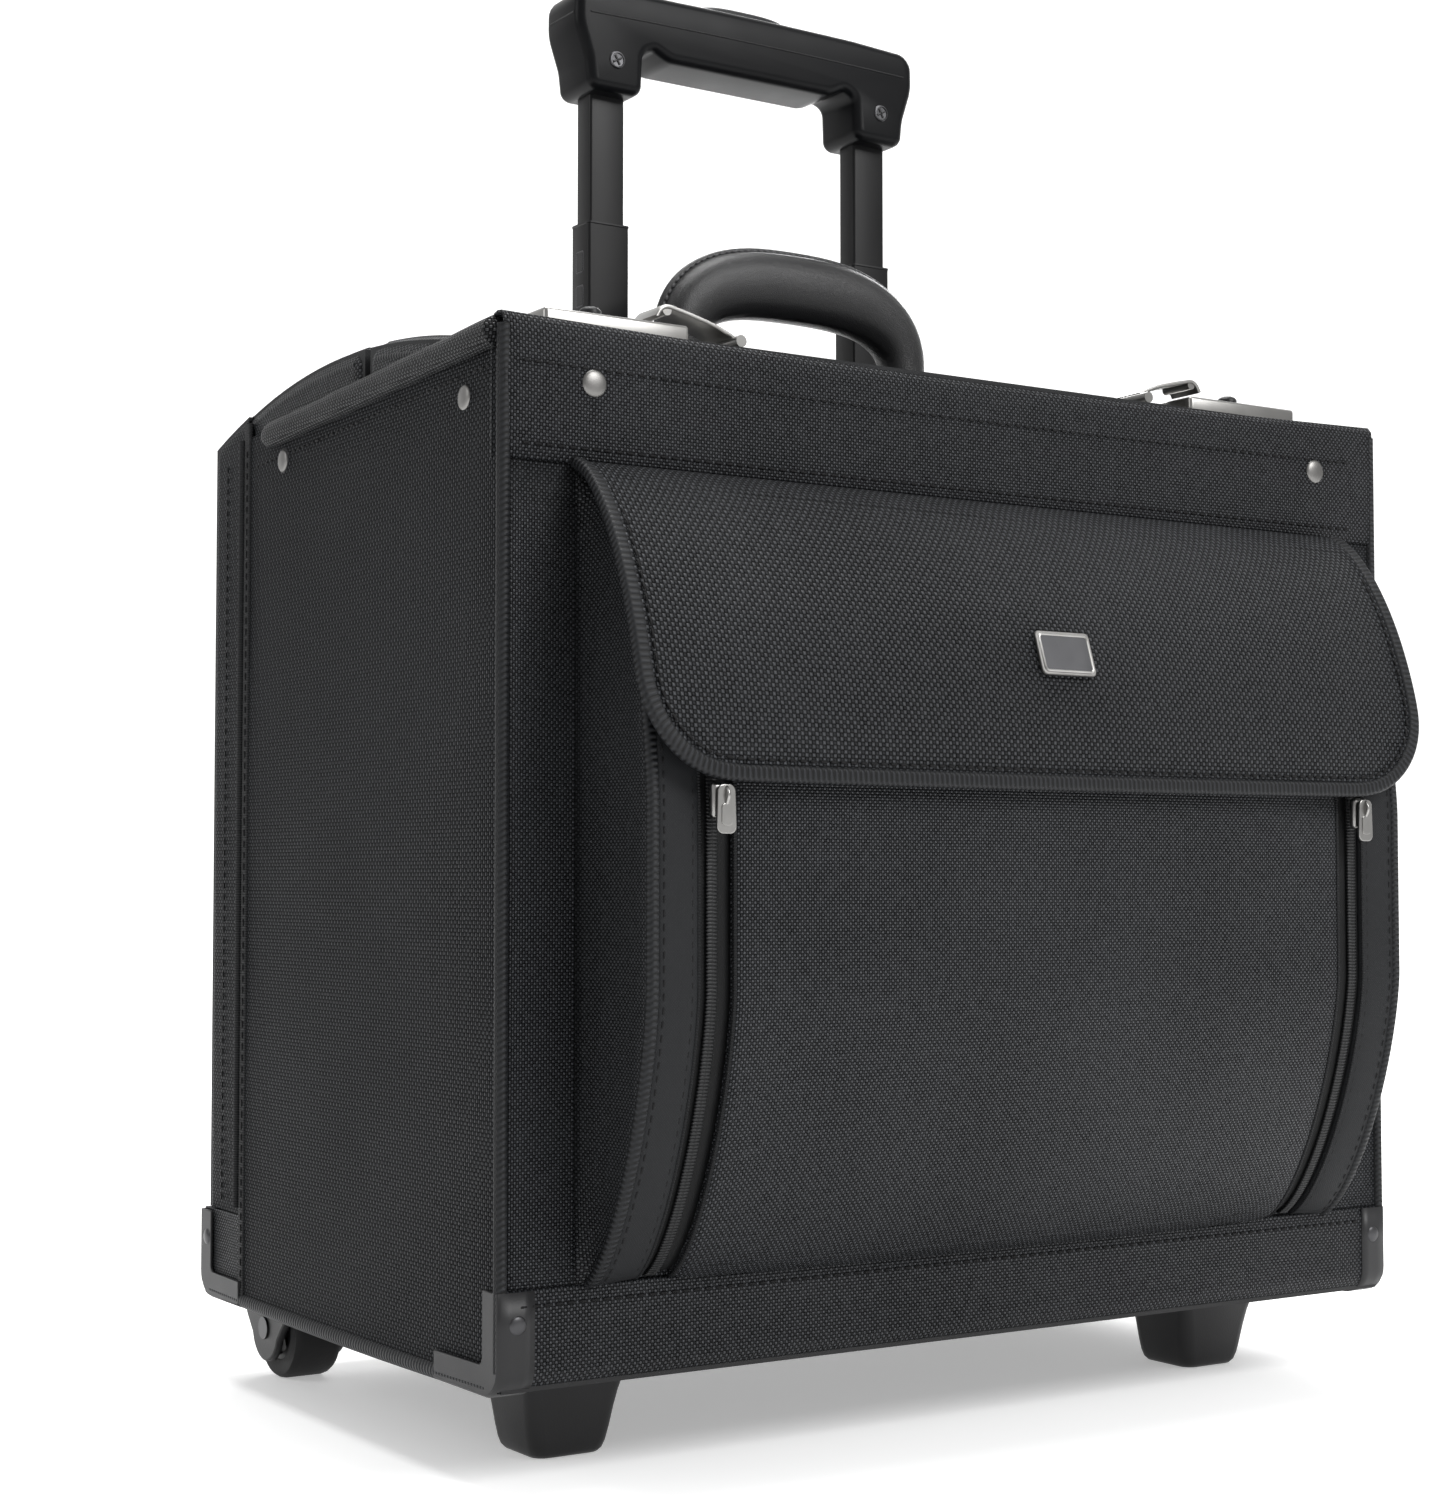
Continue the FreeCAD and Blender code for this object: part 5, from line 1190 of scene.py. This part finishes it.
def build_trolley():
    """Two hollow stages on each side; the middle one has a collar and two small windows."""
    mid_high = corners("mid_tubes")[1]
    y = FRONT + TROLLEY
    for side, s in SIDES:
        x = s * TUBE_X
        build_tube("mid", side, x, (22, 16, 1.5), 2.4, 0.9, "mid_stage")
        rings = [flat_ring(x, y, mid_high.z + lift, rounded(wide, deep, 2.0))
                 for wide, deep, lift in ((21.9, 15.9, -1.0), (22.6, 16.6, -0.6), (22.6, 16.6, 0.2),
                                          (19.2, 13.2, 0.2), (19.2, 13.2, -4))]
        loft(f"mid_collar_{side}", rings, BLACK, "mid_stage", "moulded_black", capped=False)
        for n, drop in enumerate((18, 34)):
            z = mid_high.z - drop
            ring = [Vector((x + s * 10.8, y + u, z + v)) for u, v in rounded(6.4, 9.6, 1.0)]
            sweep(f"window_frame_{n}_{side}", ring + ring[:1], circle(0.4, 8), X, DARK_STEEL,
                  "mid_stage", "tube_finish")
            outline = [Vector((x + s * 10.9, y + u, z + v)) for u, v in rounded(5.6, 8.8, 0.8)]
            plate(f"window_pad_{n}_{side}", outline, X * s, 0.3, BLACK, "mid_stage",
                  "moulded_black", bevel=0.1)
        build_tube("upper", side, x, (18.6, 12.6, 1.4), 2.2, 0.8, "upper_stage")
    build_grip()


def round_corners(points):
    """A closed outline whose (u, v, radius) corners are rounded."""
    steps = 6
    result = []
    for i, (u, v, radius) in enumerate(points):
        here = Vector((u, v))
        before = Vector(points[i - 1][:2]) - here
        after = Vector(points[(i + 1) % len(points)][:2]) - here
        angle = before.angle(after)
        if radius == 0 or angle > math.pi - 0.02:
            result.append(here)
            continue
        away = radius / math.tan(angle / 2)
        start, end = here + before.normalized() * away, here + after.normalized() * away
        centre = here + (before.normalized() + after.normalized()).normalized() * (
            radius / math.sin(angle / 2))
        for k in range(steps + 1):
            spot = start.lerp(end, k / steps) - centre
            result.append(centre + spot.normalized() * radius)
    return result


def inset(outline, amount):
    """The outline moved inwards by an amount; the outline runs anticlockwise."""
    moved = []
    for i, here in enumerate(outline):
        along = (outline[(i + 1) % len(outline)] - outline[i - 1]).normalized()
        moved.append(here + Vector((-along.y, along.x)) * amount)
    return moved


def pillow(name, outline, y0, y1, radius, *look, replaces=()):
    """A slab with a side-view outline (x, z) between two depths, its two faces rounded over."""
    rings = []
    turns = [(radius * (1 - math.cos(a)), radius * (1 - math.sin(a)))
             for a in spread(0, math.pi / 2, 6)]
    for back, inwards in turns:
        rings.append([Vector((p.x, y0 + back, p.y)) for p in inset(outline, inwards)])
    for back, inwards in reversed(turns):
        rings.append([Vector((p.x, y1 - back, p.y)) for p in inset(outline, inwards)])
    return loft(name, rings, *look, replaces=replaces, smooth=30)


def build_grip():
    """The moulded grip: two legs and a bar with a belly, its seam, screws and push button."""
    low, high = corners("grip_front")
    half = high.x
    y0 = FRONT + TROLLEY
    z = low.z
    tall = high.z - low.z
    deep = 15.9
    seam_drop = 13.5
    right = [(61.3, 0.3, 5.4), (89.6, 0.3, 5.4), (91.2, 14, 20), (half - 0.4, 30, 26),
             (half - 0.6, tall - 2.2, 9), (60, tall - 0.4, 80), (20, tall, 60)]
    under = [(46, 19.4, 14), (54.5, 23.4, 3.5), (60.6, 21.0, 5)]
    outline = right + [(-u, v, r) for u, v, r in reversed(right)]
    outline += [(-u, v, r) for u, v, r in reversed(under)] + under
    outline = [Vector((p.x, z + p.y)) for p in round_corners(outline)]
    pillow("grip_shell", outline, y0 - deep, y0 + deep, 4.4, GRIP, "upper_stage", "grip_plastic",
           replaces=("grip_front", "grip_rear"))
    for side, s in SIDES:
        build_screw(side, Vector((s * (TUBE_X + 0.4), y0 - deep, z + 15)))
    for name, y in (("front", -deep - 0.05), ("back", deep + 0.05)):
        path = [Vector((x, y0 + y, z + tall - seam_drop - 1.2 * (x / half) ** 2))
                for x in spread(-half + 7, half - 7, 50)]
        sweep(f"grip_seam_{name}", path, circle(0.4, 8), Z, BLACK, "upper_stage",
              "grip_plastic")
    for side, s in SIDES:
        path = [Vector((s * (half - 0.5), y0 + y, z + tall - 14.7)) for y in spread(-11.5, 11.5, 8)]
        sweep(f"grip_seam_end_{side}", path, circle(0.4, 8), Z, BLACK, "upper_stage", "grip_plastic")
    button_top = corners("grip_button")[1].z
    cap_half, cap_rise = 24.6, 3.2
    rings = []
    for x in spread(0.3 - cap_half, cap_half - 0.3, 25):
        reach = math.sqrt(max(0.0, 1 - (abs(x) / cap_half) ** 3))
        rise = button_top - cap_rise + cap_rise * reach
        wide = 7.0 + 1.4 * reach
        rings.append([Vector((x, y0 + u, rise + v)) for u, v in
                      ((-wide, -9.0), (-wide, -2.2), (-wide + 0.8, -0.7), (-wide + 2.4, 0.0),
                       (wide - 2.4, 0.0), (wide - 0.8, -0.7), (wide, -2.2), (wide, -9.0))])
    loft("button_cap", rings, BUTTON, "release", "button_plastic", replaces=("grip_button",))


def build_screw(side, centre):
    """A countersunk cross-head screw facing forward."""
    rings = []
    for radius, y in ((4.1, 0.6), (4.1, -0.3), (3.7, -0.75), (3.3, -0.8), (3.1, -0.3), (0.4, -0.2)):
        rings.append([centre + Vector((u, y, v)) for u, v in circle(radius, 24)])
    loft(f"screw_head_{side}", rings, DARK_STEEL, "upper_stage", "nickel",
         replaces=("grip_screws",) if side == "left" else ())
    for n, angle in enumerate((0.5, 0.5 + math.pi / 2)):
        direction = Vector((math.cos(angle), 0, math.sin(angle)))
        path = [centre + direction * t - Y * 0.45 for t in spread(-2.5, 2.5, 4)]
        # The cross is black on the steel head: painted shade in the recess.
        sweep(f"screw_slot_{n}_{side}", path, rounded(1.0, 0.5, 0.2, 2), Y, BLACK,
              "upper_stage", "nickel")


# --- carried-over CAD pieces ---------------------------------------------------------------------

def dress_frame():
    """Materials for the CAD nodes that stay visible."""
    dress = {
        LINING: ("front_board", "side_board_left", "side_board_right", "bulkhead", "channel_board",
                 "front_rim", "deck_board", "lid_board", "rear_door_board"),
        BAND_WEAVE: ("rear_sill",),
        BLACK: ("base_board", "trolley_well"),
        STEEL: ("deck_leaf", "lid_leaf", "hinge_pin", "release_rods", "handle_brackets"),
        TUBE: ("trolley_sleeves",),
    }
    for material, names in dress.items():
        for name in names:
            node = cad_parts[name]
            if not node.material_slots:
                node.data.materials.append(material)
            for slot in node.material_slots:
                slot.material = material


# --- stage ---------------------------------------------------------------------------------------

CAMERA_TURN = -32.8
CAMERA_TILT = 92.7


def build_stage():
    """A pale sweep of floor and backdrop in metres, turned to face the camera, and four soft lamps."""
    flat_end, curve, tall, half = 2.2, 1.6, 6.0, 9
    bend = [(flat_end + curve * math.sin(a), curve * (1 - math.cos(a)))
            for a in spread(0.1, math.pi / 2, 14)]
    profile = [(-6, 0.0), (flat_end, 0.0), *bend, (flat_end + curve, tall)]
    points = [(x, y, z) for y, z in profile for x in (-half, half)]
    floor = bpy.data.meshes.new("floor")
    floor.from_pydata(points, [], quads(len(profile), 2))
    floor.polygons.foreach_set("use_smooth", [True] * len(floor.polygons))
    backdrop = bpy.data.objects.new("floor", floor)
    backdrop.rotation_euler = (0, 0, math.radians(CAMERA_TURN))
    bpy.context.scene.collection.objects.link(backdrop)
    m = Maker("studio_floor")
    tone = m.ramp(m.noise(1.5), (0.83, 0.83, 0.83), (0.87, 0.87, 0.87), 0.3, 0.7)
    floor.materials.append(m.finish(tone, roughness=0.85, specular_ior_level=0.1, emission_strength=0.36))
    world = bpy.data.worlds.new("studio")
    world.use_nodes = True
    world.node_tree.nodes["Background"].inputs["Color"].default_value = (1, 1, 1, 1)
    world.node_tree.nodes["Background"].inputs["Strength"].default_value = 0.5
    bpy.context.scene.world = world
    for name, place, aim, size, power in (
        ("key", (0.9, -2.3, 2.0), (0, 0, 0.25), 1.3, 62),
        ("side", (-2.6, 0.5, 1.5), (0, 0, 0.25), 1.2, 12),
        ("top", (0.0, 0.3, 2.8), (0, 0, 0.3), 1.6, 70),
        ("rim", (1.6, 2.0, 1.6), (0, 0, 0.4), 1.2, 40),
    ):
        light = bpy.data.lights.new(name, "AREA")
        light.size = size
        light.energy = power
        lamp = bpy.data.objects.new(name, light)
        lamp.location = place
        lamp.rotation_euler = (Vector(aim) - Vector(place)).to_track_quat("-Z", "Y").to_euler()
        bpy.context.scene.collection.objects.link(lamp)


def build_camera():
    """The camera fitted to the photograph's case."""
    camera = bpy.data.objects.new("camera", bpy.data.cameras.new("camera"))
    camera.data.sensor_width = 36
    camera.data.lens = 60.9
    camera.data.shift_y = 0.0068
    camera.location = (-0.6664, -0.940, 0.2251)
    camera.rotation_euler = (math.radians(CAMERA_TILT), 0, math.radians(CAMERA_TURN))
    bpy.context.scene.collection.objects.link(camera)
    bpy.context.scene.camera = camera
    bpy.context.scene.view_settings.view_transform = "Standard"


build_front()
build_sides()
build_top()
build_rivets()
build_guards()
build_feet()
build_wheels()
build_pocket()
build_flap()
build_carry_handle()
build_locks()
build_trolley()
dress_frame()
build_stage()
build_camera()

bpy.context.view_layer.update()
